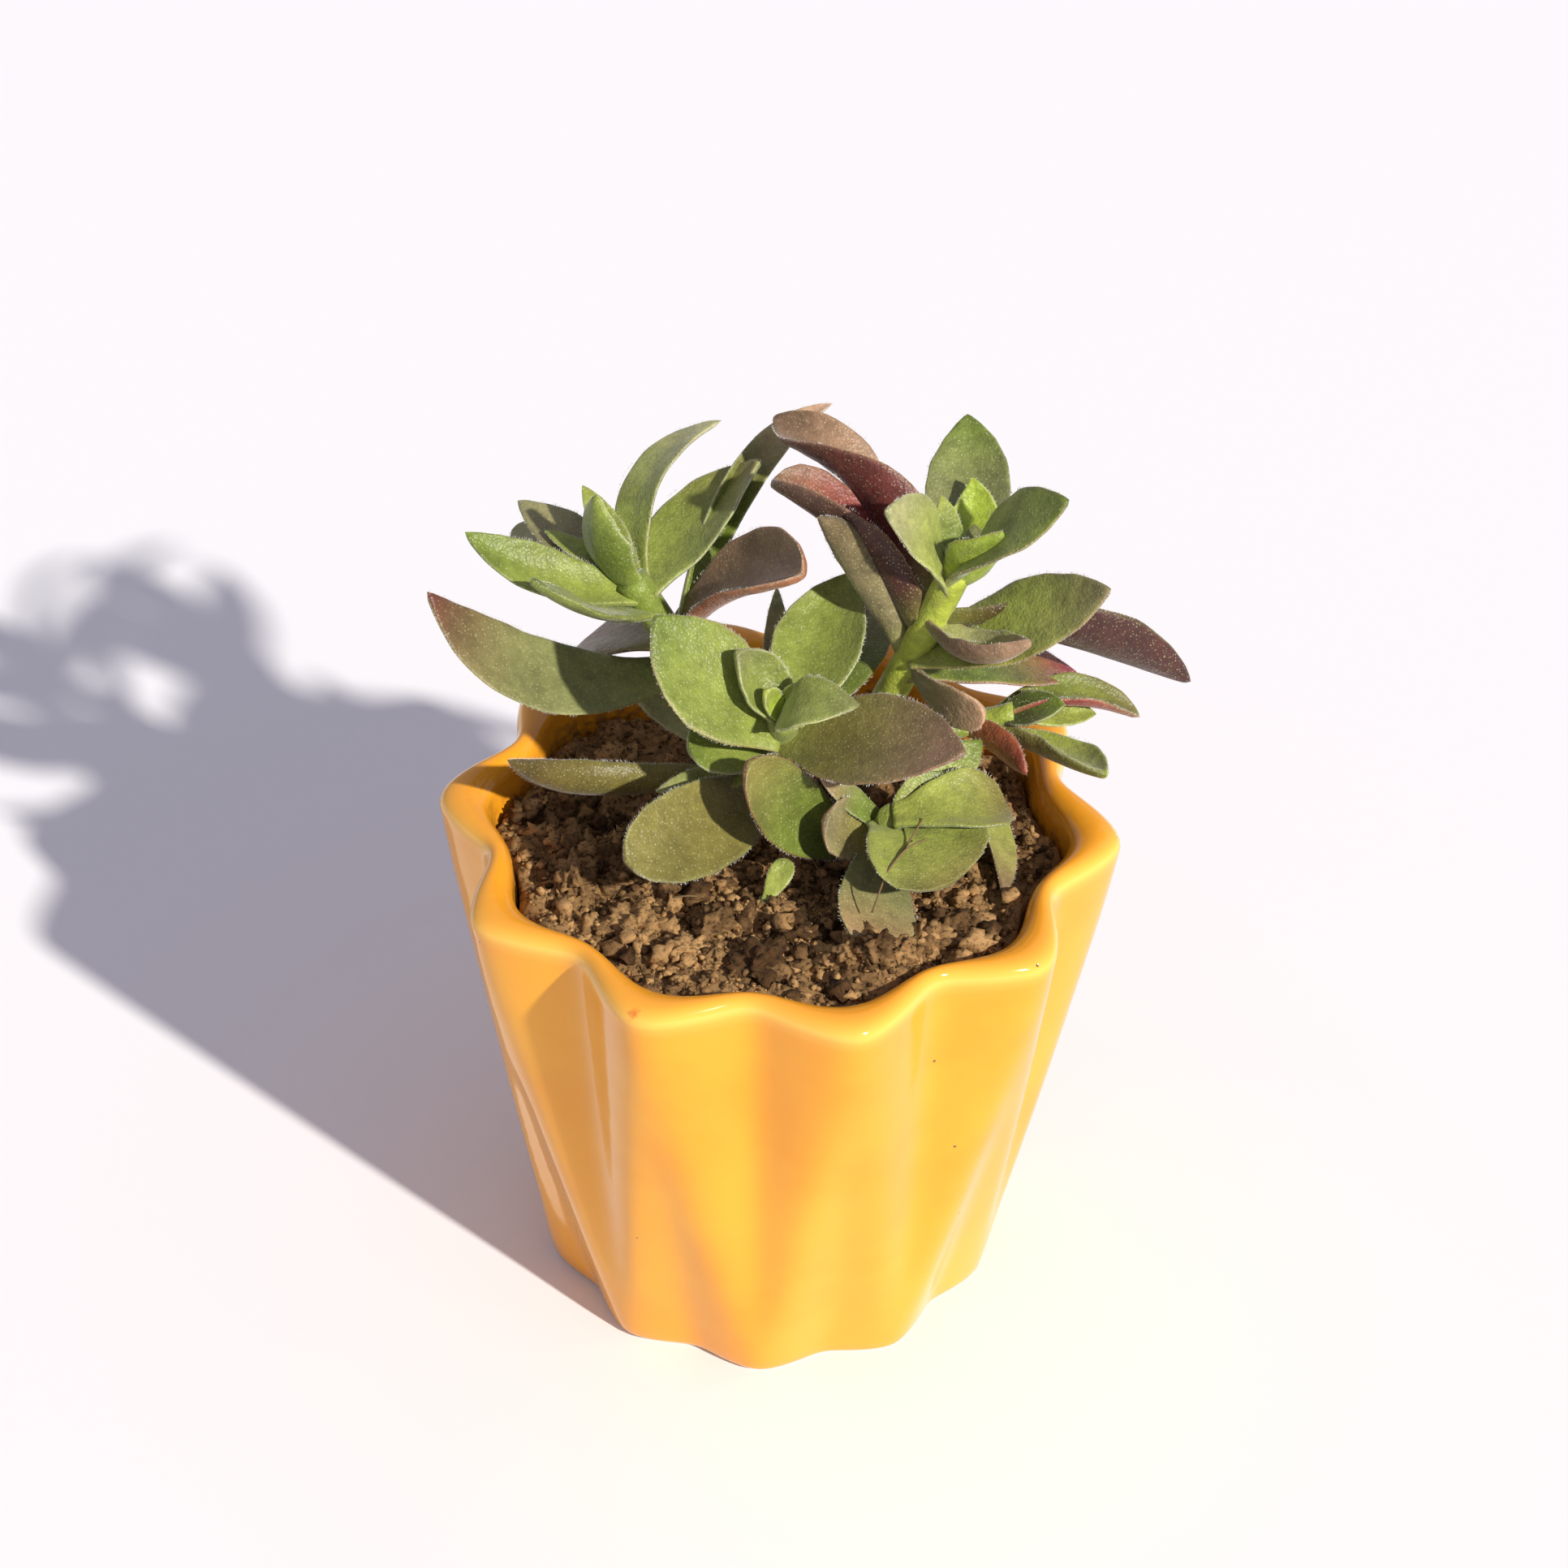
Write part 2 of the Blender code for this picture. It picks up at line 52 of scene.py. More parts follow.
# %% [markdown]
# ## The camera
# The photograph looks down at the pot from the front. A long lens far away gives little perspective, and a
# short one close by gives much, so distance and lens are set together. The camera's three axes are worked
# out from its pitch and roll and written straight into its matrix, which avoids a chain of rotations.

# %% Camera
CAMERA_PLACE = (0.6, -407.6, 391.7)
CAMERA_PITCH = 37.56
CAMERA_ROLL = 1.4
PHOTO_WIDTH = 1932
FOCAL_PIXELS = 4814
SENSOR_WIDTH = 36


def add_camera():
    pitch, roll = math.radians(CAMERA_PITCH), math.radians(CAMERA_ROLL)
    forward = Vector((0, math.cos(pitch), -math.sin(pitch)))
    level = Vector((1, 0, 0))
    above = level.cross(forward)
    right = level * math.cos(roll) + above * math.sin(roll)
    up = above * math.cos(roll) - level * math.sin(roll)
    lens = bpy.data.cameras.new("photo_camera")
    lens.sensor_width = SENSOR_WIDTH
    lens.lens = SENSOR_WIDTH * FOCAL_PIXELS / PHOTO_WIDTH
    camera = bpy.data.objects.new("photo_camera", lens)
    bpy.context.scene.collection.objects.link(camera)
    axes = Matrix((right, up, -forward)).transposed().to_4x4()
    camera.matrix_world = Matrix.Translation(Vector(CAMERA_PLACE) * MM) @ axes
    bpy.context.scene.camera = camera
    return camera


camera = add_camera()
print("lens:", round(camera.data.lens, 1), "mm")

# %% [markdown]
# ## Helpers for materials
# Colours are typed as the hex codes that a colour picker shows. Blender mixes light in linear values, so one
# function converts them. A second function adds a node, sets it, links it and gives back one of its
# outputs. With it each material reads as a recipe, from what is measured at the top to the bump at the end.

# %% Colour and node helpers


def linear(hex_colour):
    """An sRGB hex colour as linear red, green, blue and alpha."""
    channels = []
    for start in (1, 3, 5):
        value = int(hex_colour[start:start + 2], 16) / 255
        channels.append(value / 12.92 if value <= 0.04045 else ((value + 0.055) / 1.055) ** 2.4)
    return (*channels, 1)


def add_node(tree, kind, output, inputs=None, **settings):
    """Adds a node with its settings, sets or links its inputs, and gives one of its outputs."""
    node = tree.nodes.new(kind)
    for name, value in settings.items():
        setattr(node, name, value)
    for name, value in (inputs or {}).items():
        if isinstance(value, bpy.types.NodeSocket):
            tree.links.new(value, node.inputs[name])
        else:
            node.inputs[name].default_value = value
    return node.outputs[output]


def new_material(name, **surface):
    """A material with a Principled surface, and its node tree."""
    material = bpy.data.materials.new(name)
    material.use_nodes = True
    shader = material.node_tree.nodes["Principled BSDF"]
    for socket, value in surface.items():
        shader.inputs[socket.replace("_", " ")].default_value = value
    return material, material.node_tree, shader


# Several sockets of a mix node share a name, so the ones for colours are known by their numbers.
SHARE, FIRST, SECOND, MIXED = 0, 6, 7, 2
print("red of the glaze, linear:", round(linear("#F6B23C")[0], 3))

# %% [markdown]
# ## The stage
# The plant stands on a plain pale surface. One broad sunlike light comes from the front right, low enough to
# model the folds of the pot, and an even pale sky fills the shadows. A sun with a wide angle gives soft
# edges to the shadows, like a studio's softbox.

# %% Floor, key light and sky
FLOOR_SIZE = 6000
TOWARD_KEY = (0.574, -0.611, 0.545)
KEY_STRENGTH = 4.2
KEY_ANGLE = 2
SKY_STRENGTH = 0.42


def clear_selection():
    bpy.ops.object.select_all(action="DESELECT")


def add_stage():
    clear_selection()
    bpy.ops.mesh.primitive_plane_add(size=FLOOR_SIZE * MM, location=(0, 0, 0))
    floor = bpy.context.object
    floor.name = "floor"
    paper, _, _ = new_material("white_paper", Base_Color=linear("#F7F8F9"), Roughness=0.8)
    floor.data.materials.append(paper)


def add_light():
    sun = bpy.data.lights.new("key_light", "SUN")
    sun.energy = KEY_STRENGTH
    sun.angle = math.radians(KEY_ANGLE)
    sun.color = linear("#FFF8F0")[:3]
    key = bpy.data.objects.new("key_light", sun)
    key.rotation_euler = Vector(TOWARD_KEY).to_track_quat("Z", "Y").to_euler()
    bpy.context.scene.collection.objects.link(key)
    world = bpy.data.worlds.new("pale_sky")
    world.use_nodes = True
    world.node_tree.nodes["Background"].inputs["Color"].default_value = linear("#ECE9FF")
    world.node_tree.nodes["Background"].inputs["Strength"].default_value = SKY_STRENGTH
    bpy.context.scene.world = world
    bpy.context.scene.view_settings.view_transform = "Standard"


add_stage()
add_light()
print("key light from", TOWARD_KEY)

# %% [markdown]
# ## A helper: a skin extruded ring by ring
# The pot, the soil and the blank for the leaves are all round things with an outline that changes on the
# way up. By hand one would add a circle, extrude its edge again and again, and scale each new ring. The
# helper does just that: it adds a filled circle, extrudes the border, lays each new ring on its own outline
# and closes the last one. Lathe tools fit less well here, because the outlines aren't round.

# %% Extruded skin


def select_only(thing):
    clear_selection()
    thing.select_set(True)
    bpy.context.view_layer.objects.active = thing


def extruded_skin(name, rings):
    """A closed skin through rings of points. Every ring has one point on each ray from the axis."""
    count = len(rings[0])
    clear_selection()
    bpy.ops.mesh.primitive_circle_add(vertices=count, radius=1, fill_type="NGON")
    thing = bpy.context.object
    thing.name = thing.data.name = name
    bpy.ops.object.mode_set(mode="EDIT")
    bpy.ops.mesh.select_mode(type="FACE")
    bpy.ops.mesh.select_all(action="SELECT")
    for number, ring in enumerate(rings):
        if number:
            bpy.ops.mesh.extrude_region_move()
        shape = bmesh.from_edit_mesh(thing.data)
        for vert in shape.verts:
            if vert.select:
                turn = math.atan2(vert.co.y, vert.co.x) / (2 * math.pi)
                vert.co = ring[round(turn * count) % count]
        bmesh.update_edit_mesh(thing.data)
    bpy.ops.mesh.select_all(action="SELECT")
    bpy.ops.mesh.normals_make_consistent(inside=False)
    bpy.ops.object.mode_set(mode="OBJECT")
    return thing


def store(thing, name, values):
    """Keeps one number, or one colour, for each point of a mesh, for its material to read."""
    values = np.asarray(values, np.float32)
    kind, field = ("FLOAT", "value") if values.ndim == 1 else ("FLOAT_COLOR", "color")
    attribute = thing.data.attributes.new(name, kind, "POINT")
    attribute.data.foreach_set(field, values.ravel())


def points_of(thing):
    points = np.empty(len(thing.data.vertices) * 3, np.float32)
    thing.data.vertices.foreach_get("co", points)
    return points.reshape(-1, 3).astype(float)


def finish_piece(thing, material, replaced=None):
    """Shades a piece smooth, gives it its material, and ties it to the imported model."""
    thing.data.materials.clear()
    thing.data.materials.append(material)
    thing.data.shade_smooth()
    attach(thing, "root")
    if replaced:
        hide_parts(replaced)
    print(thing.name, "has", sum(len(face.vertices) - 2 for face in thing.data.polygons), "triangles")


# %% [markdown]
# ## The pot's outline
# The pot has ten corners at the rim and ten at the foot, half a step apart, and flat triangles of clay run
# between them, like a paper lantern's folds. A corner outline at any height is found by sliding along the
# straight folds from foot to rim. The glaze then softens every fold, which here is an average over a few
# degrees each side.

# %% Outline of the pot
CORNERS = 10
PITCH = 360 / CORNERS
POT_HEIGHT = 74
RIM_CORNER_RADIUS = 46.6
RIM_HOLLOW_RADIUS = 38.3
FOOT_CORNER_RADIUS = 31.6
FOOT_HOLLOW_RADIUS = 28.2
RIM_TURN = -4.2
FOOT_TURN = 16.3
OUTER_SOFTENING = 2.8
INNER_SOFTENING = 8
BELLY_SWELL = 0.5
WALL = 5
FLOOR = 6
POT_STEPS = 240
STEP_ANGLES = np.arange(POT_STEPS) * 360 / POT_STEPS


def corner_polygon(share):
    """Angles and radii of the sharp outline at a share of the pot's height."""
    outline = []
    for number in range(CORNERS):
        rim, foot = RIM_TURN + number * PITCH, FOOT_TURN + number * PITCH
        folds = [
            (foot - PITCH / 2, FOOT_HOLLOW_RADIUS, rim, RIM_CORNER_RADIUS),
            (foot, FOOT_CORNER_RADIUS, rim, RIM_CORNER_RADIUS),
            (foot, FOOT_CORNER_RADIUS, rim + PITCH / 2, RIM_HOLLOW_RADIUS),
            (foot, FOOT_CORNER_RADIUS, rim + PITCH, RIM_CORNER_RADIUS),
        ]
        for low_angle, low_radius, high_angle, high_radius in folds:
            low = low_radius * (1 - share) * np.exp(1j * math.radians(low_angle))
            spot = low + high_radius * share * np.exp(1j * math.radians(high_angle))
            outline.append((math.degrees(np.angle(spot)) % 360, abs(spot)))
    return np.array(sorted(outline)).T


def pot_radii(height, inset):
    """The radius at every step round, at a height and moved in from the outside by the inset."""
    angles, radii = corner_polygon(height / POT_HEIGHT)
    offsets = np.linspace(-2.2, 2.2, 15)
    weights = np.exp(-offsets ** 2 / 2)
    softening = OUTER_SOFTENING + (INNER_SOFTENING - OUTER_SOFTENING) * min(1, inset / WALL)
    softened = np.full(POT_STEPS, BELLY_SWELL * math.sin(math.pi * height / POT_HEIGHT) - inset)
    for offset, weight in zip(offsets, weights / weights.sum()):
        near = (STEP_ANGLES + offset * softening) % 360
        softened += weight * np.interp(near, angles, radii, period=360)
    return softened


def pot_ring(height, inset):
    """A ring of points on the wall, moved in from the outside by the inset."""
    turns = np.radians(STEP_ANGLES)
    radii = pot_radii(min(height, POT_HEIGHT), inset) * MM
    return np.stack([radii * np.cos(turns), radii * np.sin(turns), np.full(POT_STEPS, height * MM)], axis=1)


rim = pot_radii(POT_HEIGHT, 0)
print("rim from", round(rim.min(), 1), "to", round(rim.max(), 1), "mm")

# %% [markdown]
# ## The pot's wall
# The skin runs from the foot up the outside, over the rounded rim and down the inside to the floor. One
# extruded skin keeps the wall closed and lets the rim be an exact half round, which a Solidify with a Bevel
# would make uneven where the wall turns sharply. Two numbers stored on each point say how far inside the pot
# and how near the top of the lip it lies, so that the material can put dust there and paint a pale highlight
# line along the lip.

# %% The pot
RIM_ROUNDING = 2.5
FOOT_ROUNDING = 1.4
RIM_ARC_STEPS = 10
FOOT_ARC_STEPS = 4
WALL_STEP = 1.6
BISQUE_INSET = 3
LIP_HIGHLIGHT_HEIGHT = 72.6
LIP_HIGHLIGHT_REACH = 1.6
FLOOR_FILLET = 3
INSIDE_LEAD = 3
INSIDE_ROWS = 8


def arc(steps):
    """Shares of a quarter turn, from 0 to 1."""
    return [step / steps * math.pi / 2 for step in range(steps + 1)]


def pot_profile():
    """The wall's path as heights and insets, from the middle of the underside to the inner floor."""
    path = [(0, FOOT_ROUNDING + BISQUE_INSET)]
    path += [(FOOT_ROUNDING * (1 - math.cos(turn)), FOOT_ROUNDING * (1 - math.sin(turn)))
             for turn in arc(FOOT_ARC_STEPS)]
    shoulder = POT_HEIGHT - RIM_ROUNDING
    path += [(height, 0) for height in np.arange(FOOT_ROUNDING + WALL_STEP, shoulder - 0.5, WALL_STEP)]
    path += [(shoulder + RIM_ROUNDING * math.sin(turn), RIM_ROUNDING * (1 - math.cos(turn)))
             for turn in arc(RIM_ARC_STEPS)]
    inner_reach = WALL - RIM_ROUNDING
    path += [(shoulder + RIM_ROUNDING * math.cos(turn), RIM_ROUNDING + inner_reach * math.sin(turn))
             for turn in arc(RIM_ARC_STEPS)[1:]]
    inner_heights = np.arange(shoulder - WALL_STEP, FLOOR + FLOOR_FILLET, -2 * WALL_STEP)
    path += [(height, WALL) for height in inner_heights]
    path += [(FLOOR + FLOOR_FILLET / 3, WALL + FLOOR_FILLET / 3), (FLOOR, WALL + FLOOR_FILLET)]
    return path


def build_pot():
    path = pot_profile()
    pot = extruded_skin("glazed_pot", [pot_ring(height, inset) for height, inset in path])
    inside = []
    top = max(range(len(path)), key=lambda row: path[row][0])
    for row in range(len(path)):
        inside += [max(0, min(1, (row - top + INSIDE_LEAD) / INSIDE_ROWS))] * POT_STEPS
    store(pot, "Inside", inside)
    # The band on the rounded lip where the material paints a pale highlight line.
    lip_highlight = []
    for height, inset in path:
        near = abs(height - LIP_HIGHLIGHT_HEIGHT) < LIP_HIGHLIGHT_REACH and inset < RIM_ROUNDING
        lip_highlight += [1 - abs(height - LIP_HIGHLIGHT_HEIGHT) / LIP_HIGHLIGHT_REACH if near else 0] * POT_STEPS
    store(pot, "LipHighlight", lip_highlight)
    return pot


pot = build_pot()
print("height of the pot:", round(pot.dimensions.z / MM, 1), "mm")

# %% [markdown]
# ## Glazed earthenware
# The pot is earthenware dipped in a yellow lead-free glaze and fired to a gloss. A glaze is thin glass: it
# pools deeper and redder in hollows, thins over edges, and its skin waves a little, so reflections bend.
# Fine dark pinholes, a rusty stain on the rim, soil dust just above the soil, a bare clay foot and a pale
# highlight painted along the lip are layers of colour, each with a mask from the object's coordinates or the
# stored numbers. Its roughness of 0.1 and IOR of 1.52 are those of glossy glass.

# %% Glaze
GLAZE_ROUGHNESS = 0.1
DUSTY_ROUGHNESS = 0.75
GLAZE_CLOUD_SIZE = 22
PINHOLE_SPACING = 9
STAIN_PLACE = (-17.2, -40.5, 72.6)
STAIN_SIZE = 1.3
STAIN_RAGGEDNESS = 1.6
DUST_SPECK_SIZE = 1.4
GLAZE_WAVE_SIZE = 9


def glazed_earthenware():
    material, tree, shader = new_material("glazed_earthenware", Roughness=GLAZE_ROUGHNESS, IOR=1.52)
    where = add_node(tree, "ShaderNodeTexCoord", "Object")
    height = add_node(tree, "ShaderNodeSeparateXYZ", "Z", {"Vector": where})
    cloud = add_node(tree, "ShaderNodeTexNoise", "Fac", {
        "Vector": where, "Scale": 1 / (GLAZE_CLOUD_SIZE * MM), "Detail": 3, "Roughness": 0.55})
    pooled = add_node(tree, "ShaderNodeMapRange", "Result", {
        "Value": cloud, "From Min": 0.35, "From Max": 0.65})
    rim = add_node(tree, "ShaderNodeMapRange", "Result", {
        "Value": height, "From Min": 68.5 * MM, "From Max": 72.5 * MM})
    # A pale yellow line painted along the rounded lip: a painted highlight where the lip catches the key
    # light.
    lip_highlight = add_node(tree, "ShaderNodeAttribute", "Fac", attribute_name="LipHighlight")
    cells = add_node(tree, "ShaderNodeTexVoronoi", "Distance", {
        "Vector": where, "Scale": 1 / (PINHOLE_SPACING * MM)})
    pinhole = add_node(tree, "ShaderNodeMapRange", "Result", {
        "Value": cells, "From Min": 0.018, "From Max": 0.03, "To Min": 1, "To Max": 0})
    spot = add_node(tree, "ShaderNodeVectorMath", "Value", {
        0: where, 1: Vector(STAIN_PLACE) * MM}, operation="DISTANCE")
    rough_edge = add_node(tree, "ShaderNodeTexNoise", "Fac", {
        "Vector": where, "Scale": 1 / (0.9 * MM), "Detail": 3, "Roughness": 0.55})
    ragged = add_node(tree, "ShaderNodeMath", "Value", {
        0: rough_edge, 1: STAIN_RAGGEDNESS * MM}, operation="MULTIPLY")
    reach = add_node(tree, "ShaderNodeMath", "Value", {0: spot, 1: ragged}, operation="ADD")
    stain = add_node(tree, "ShaderNodeMapRange", "Result", {
        "Value": reach, "From Min": STAIN_SIZE * MM, "From Max": 1.5 * STAIN_SIZE * MM,
        "To Min": 0.8, "To Max": 0})
    inside = add_node(tree, "ShaderNodeAttribute", "Fac", attribute_name="Inside")
    low = add_node(tree, "ShaderNodeMapRange", "Result", {
        "Value": height, "From Min": 66.5 * MM, "From Max": 70.5 * MM, "To Min": 1, "To Max": 0.06})
    specks = add_node(tree, "ShaderNodeTexNoise", "Fac", {
        "Vector": where, "Scale": 1 / (DUST_SPECK_SIZE * MM), "Detail": 6, "Roughness": 0.55})
    patchy = add_node(tree, "ShaderNodeMapRange", "Result", {
        "Value": specks, "From Min": 0.45, "From Max": 0.62})
    smears = add_node(tree, "ShaderNodeMath", "Value", {0: low, 1: patchy}, operation="MULTIPLY")
    dusty = add_node(tree, "ShaderNodeMath", "Value", {0: inside, 1: smears}, operation="MULTIPLY")
    foot = add_node(tree, "ShaderNodeMapRange", "Result", {
        "Value": height, "From Min": 0.3 * MM, "From Max": 0.7 * MM, "To Min": 1, "To Max": 0})
    body = linear("#F0A01C")
    layers = ((pooled, "#F5AC26"), (rim, "#F7A62C"), (lip_highlight, "#FFC558"), (pinhole, "#7A4A22"),
              (stain, "#D4501E"), (dusty, "#7C5636"), (foot, "#D9BE9C"))
    for share, colour in layers:
        body = add_node(tree, "ShaderNodeMix", MIXED, {SHARE: share, FIRST: body, SECOND: linear(colour)},
                        data_type="RGBA")
    tree.links.new(body, shader.inputs["Base Color"])
    dull = add_node(tree, "ShaderNodeMath", "Value", {0: dusty, 1: foot}, operation="MAXIMUM")
    roughness = add_node(tree, "ShaderNodeMapRange", "Result", {
        "Value": dull, "To Min": GLAZE_ROUGHNESS, "To Max": DUSTY_ROUGHNESS})
    tree.links.new(roughness, shader.inputs["Roughness"])
    swell = add_node(tree, "ShaderNodeTexNoise", "Fac", {
        "Vector": where, "Scale": 1 / (GLAZE_WAVE_SIZE * MM), "Detail": 2, "Roughness": 0.55})
    waves = add_node(tree, "ShaderNodeBump", "Normal", {
        "Height": swell, "Strength": 0.25, "Distance": 0.5 * MM})
    pits = add_node(tree, "ShaderNodeBump", "Normal", {
        "Height": pinhole, "Strength": 0.4, "Distance": 0.1 * MM, "Normal": waves}, invert=True)
    tree.links.new(pits, shader.inputs["Normal"])
    return material


finish_piece(pot, glazed_earthenware(), "pot")

# %% [markdown]
# ## The soil
# Dry potting soil is a rough surface with lumps of every size. Its skin fills the pot up to the inner wall,
# and its top is lifted by noise at several scales, coarse for the lumps and fine for the grains. A small heap
# buries the end of the lowest front leaf. A displaced grid would give the same relief, but not a closed piece
# that fits the wall's folds.

# %% Soil surface
SOIL_TOP = 68
SOIL_SLOPE = -0.06
SOIL_DEPTH = 16
SOIL_SHOULDER = 4
SOIL_EDGE_DROP = 0.5
SOIL_GAP = 0.5
SOIL_RING_STEP = 0.55
SMALLEST_RING = 0.03
LUMP_SIZES = {7.5: 2.6, 3.4: 2.1, 1.5: 1.2, 0.7: 0.55}
LUMP_MIDDLE = 0.18
HEAP = Vector((12.3, -27.5))
HEAP_SPREAD = 4.2
HEAP_LIFT = 3.2


def ground(x, y):
    """Height of the rough soil under a place, in mm, with a heap over the end of a leaf."""
    height = SOIL_TOP + SOIL_SLOPE * y
    for size, lift in LUMP_SIZES.items():
        height += lift * (abs(noise.noise(Vector((x / size, y / size, size)))) - LUMP_MIDDLE)
    return height + HEAP_LIFT * math.exp(-((Vector((x, y)) - HEAP).length / HEAP_SPREAD) ** 2)


def build_soil():
    edge = pot_ring(SOIL_TOP, WALL + SOIL_GAP) / MM
    rings = [edge * (1, 1, 0) + (0, 0, SOIL_TOP - depth) for depth in (SOIL_DEPTH, SOIL_SHOULDER)]
    reach = np.hypot(edge[:, 0], edge[:, 1]).max()
    for share in np.arange(1, SMALLEST_RING, -SOIL_RING_STEP / reach):
        ring = edge * (share, share, 0)
        drop = SOIL_EDGE_DROP if share == 1 else 0
        ring[:, 2] = [ground(x, y) - drop for x, y, _ in ring]
        rings.append(ring)
    return extruded_skin("soil_surface", [ring * MM for ring in rings])


soil = build_soil()
print("soil lies", round(POT_HEIGHT - ground(0, -30), 1), "mm below the rim at the front")

# %% [markdown]
# ## Crumbs and clods
# A crumb is an icosphere whose points are pushed in and out by noise. A few different blanks are enough,
# because each copy is turned and stretched its own way: many small ones and few large ones, as broken earth
# falls apart. The copies are gathered in one mesh with a random tone for each crumb, since no two dry at the
# same rate. The random draws are seeded, so every run gives the same soil.

# %% Crumbs
SOIL_REACH = 38
GROUND_TONE = 0.45
CRUMB_COUNT = 5200
CRUMB_RADII = (0.16, 0.8)
PEBBLE_COUNT = 260
PEBBLE_RADII = (0.8, 1.9)
WALL_CLEARANCE = 0.3
CHANCE_IN_MIDDLE = 0.75
CHANCE_FALLS_OVER = 60
STRETCH = (0.75, 1.2)
FLATNESS = 0.85
SHARE_ABOVE_SOIL = (0.1, 0.45)
CLODS = [
    (-26, -12, 3.2), (-18, -20, 3.4), (-11.5, -26, 2.4), (-8, -20, 2.6), (-2, -28, 3.0), (3, -21, 2.2),
    (20, -21.5, 2.6), (22.5, -18, 2.0), (-27, -2, 2.4), (-28, 7, 2.0), (29, -3, 2.0), (-22, 18, 2.6),
    (-34, 5, 2.6), (-21, -6, 2.6), (0.5, -16, 1.7), (7, -27.5, 1.5), (17.5, -25, 1.6), (19, -22, 1.8),
    (9.3, -28.5, 2.0), (12.8, -28.7, 1.9), (16, -27, 2.0),
]


def crumb_blank(detail, roughness, seed):
    """A rough ball of radius 1, as points and triangles."""
    clear_selection()
    bpy.ops.mesh.primitive_ico_sphere_add(subdivisions=detail, radius=1)
    ball = bpy.context.object
    points = points_of(ball)
    faces = np.array([face.vertices[:] for face in ball.data.polygons])
    bpy.data.objects.remove(ball)
    push = [1 + roughness * noise.fractal(Vector(point) * 1.7 + Vector((seed, 0, 0)), 0.6, 2.1, 4)
            for point in points]
    return points * np.array(push)[:, None], faces


def random_turn(draw):
    """A random rotation matrix."""
    axes, _ = np.linalg.qr(draw.normal(size=(3, 3)))
    return axes * np.sign(np.linalg.det(axes))


def merged(name, parts):
    """One object from many sets of points and faces."""
    points, faces, start = [], [], 0
    for part_points, part_faces in parts:
        points.append(part_points)
        faces.append(part_faces + start)
        start += len(part_points)
    mesh = bpy.data.meshes.new(name)
    mesh.from_pydata(np.concatenate(points).tolist(), [], np.concatenate(faces).tolist())
    thing = bpy.data.objects.new(name, mesh)
    bpy.context.scene.collection.objects.link(thing)
    return thing


def scattered(name, blanks, places, draw):
    """Copies of the blanks at places of (x, y, radius), each turned, stretched and half sunk in the soil."""
    parts, tones = [], []
    for x, y, radius in places:
        points, faces = blanks[draw.integers(len(blanks))]
        size = (radius, radius, FLATNESS * radius)
        stretched = points @ random_turn(draw) * draw.uniform(*STRETCH, 3) * size
        lift = ground(x, y) + radius * draw.uniform(*SHARE_ABOVE_SOIL)
        parts.append(((stretched + (x, y, lift)) * MM, faces))
        tones += [draw.uniform(0, 1)] * len(points)
    thing = merged(name, parts)
    store(thing, "Tone", tones)
    return thing


def random_places(count, low, high, draw):
    """Places spread over the soil, thicker at the front, with many small radii and few large."""
    edge = pot_ring(SOIL_TOP, WALL + SOIL_GAP) / MM
    edge_angles = np.arctan2(edge[:, 1], edge[:, 0])
    edge_reach = np.hypot(edge[:, 0], edge[:, 1])
    places = []
    while len(places) < count:
        x, y = draw.uniform(-SOIL_REACH, SOIL_REACH, 2)
        radius = low * (high / low) ** (draw.uniform() ** 2)
        reach = np.interp(math.atan2(y, x), edge_angles, edge_reach, period=2 * math.pi)
        if math.hypot(x, y) + radius >= reach - WALL_CLEARANCE:
            continue
        if draw.uniform() < CHANCE_IN_MIDDLE - y / CHANCE_FALLS_OVER:
            places.append((x, y, radius))
    return places


draw = np.random.default_rng(11)
small_blanks = [crumb_blank(1, 0.8, seed) for seed in range(9)]
medium_blanks = [crumb_blank(2, 0.8, seed) for seed in range(9)]
large_blanks = [crumb_blank(4, 0.7, seed) for seed in range(20, 26)]
crumbs = scattered("soil_crumbs", small_blanks, random_places(CRUMB_COUNT, *CRUMB_RADII, draw), draw)
pebbles = scattered("soil_pebbles", medium_blanks, random_places(PEBBLE_COUNT, *PEBBLE_RADII, draw), draw)
clods = scattered("soil_clods", large_blanks, CLODS, draw)
store(soil, "Tone", np.full(len(soil.data.vertices), GROUND_TONE))
print("crumbs:", CRUMB_COUNT, "pebbles:", PEBBLE_COUNT, "clods:", len(CLODS))

# %% [markdown]
# ## Dry potting soil
# Dried earth scatters light and has no gloss. Its colour runs from pale tan to dark brown, with near-black
# specks. Two sizes of noise mix the tones and scatter the specks, and the number stored for each crumb shifts
# it lighter or darker. The bump is drawn at half a millimetre, coarser than real silt, so that it shows from
# this far away.

# %% Soil material
SOIL_PATCH_SIZE = 3.5
SOIL_FLECK_SIZE = 0.8
SILT_SIZE = 0.5


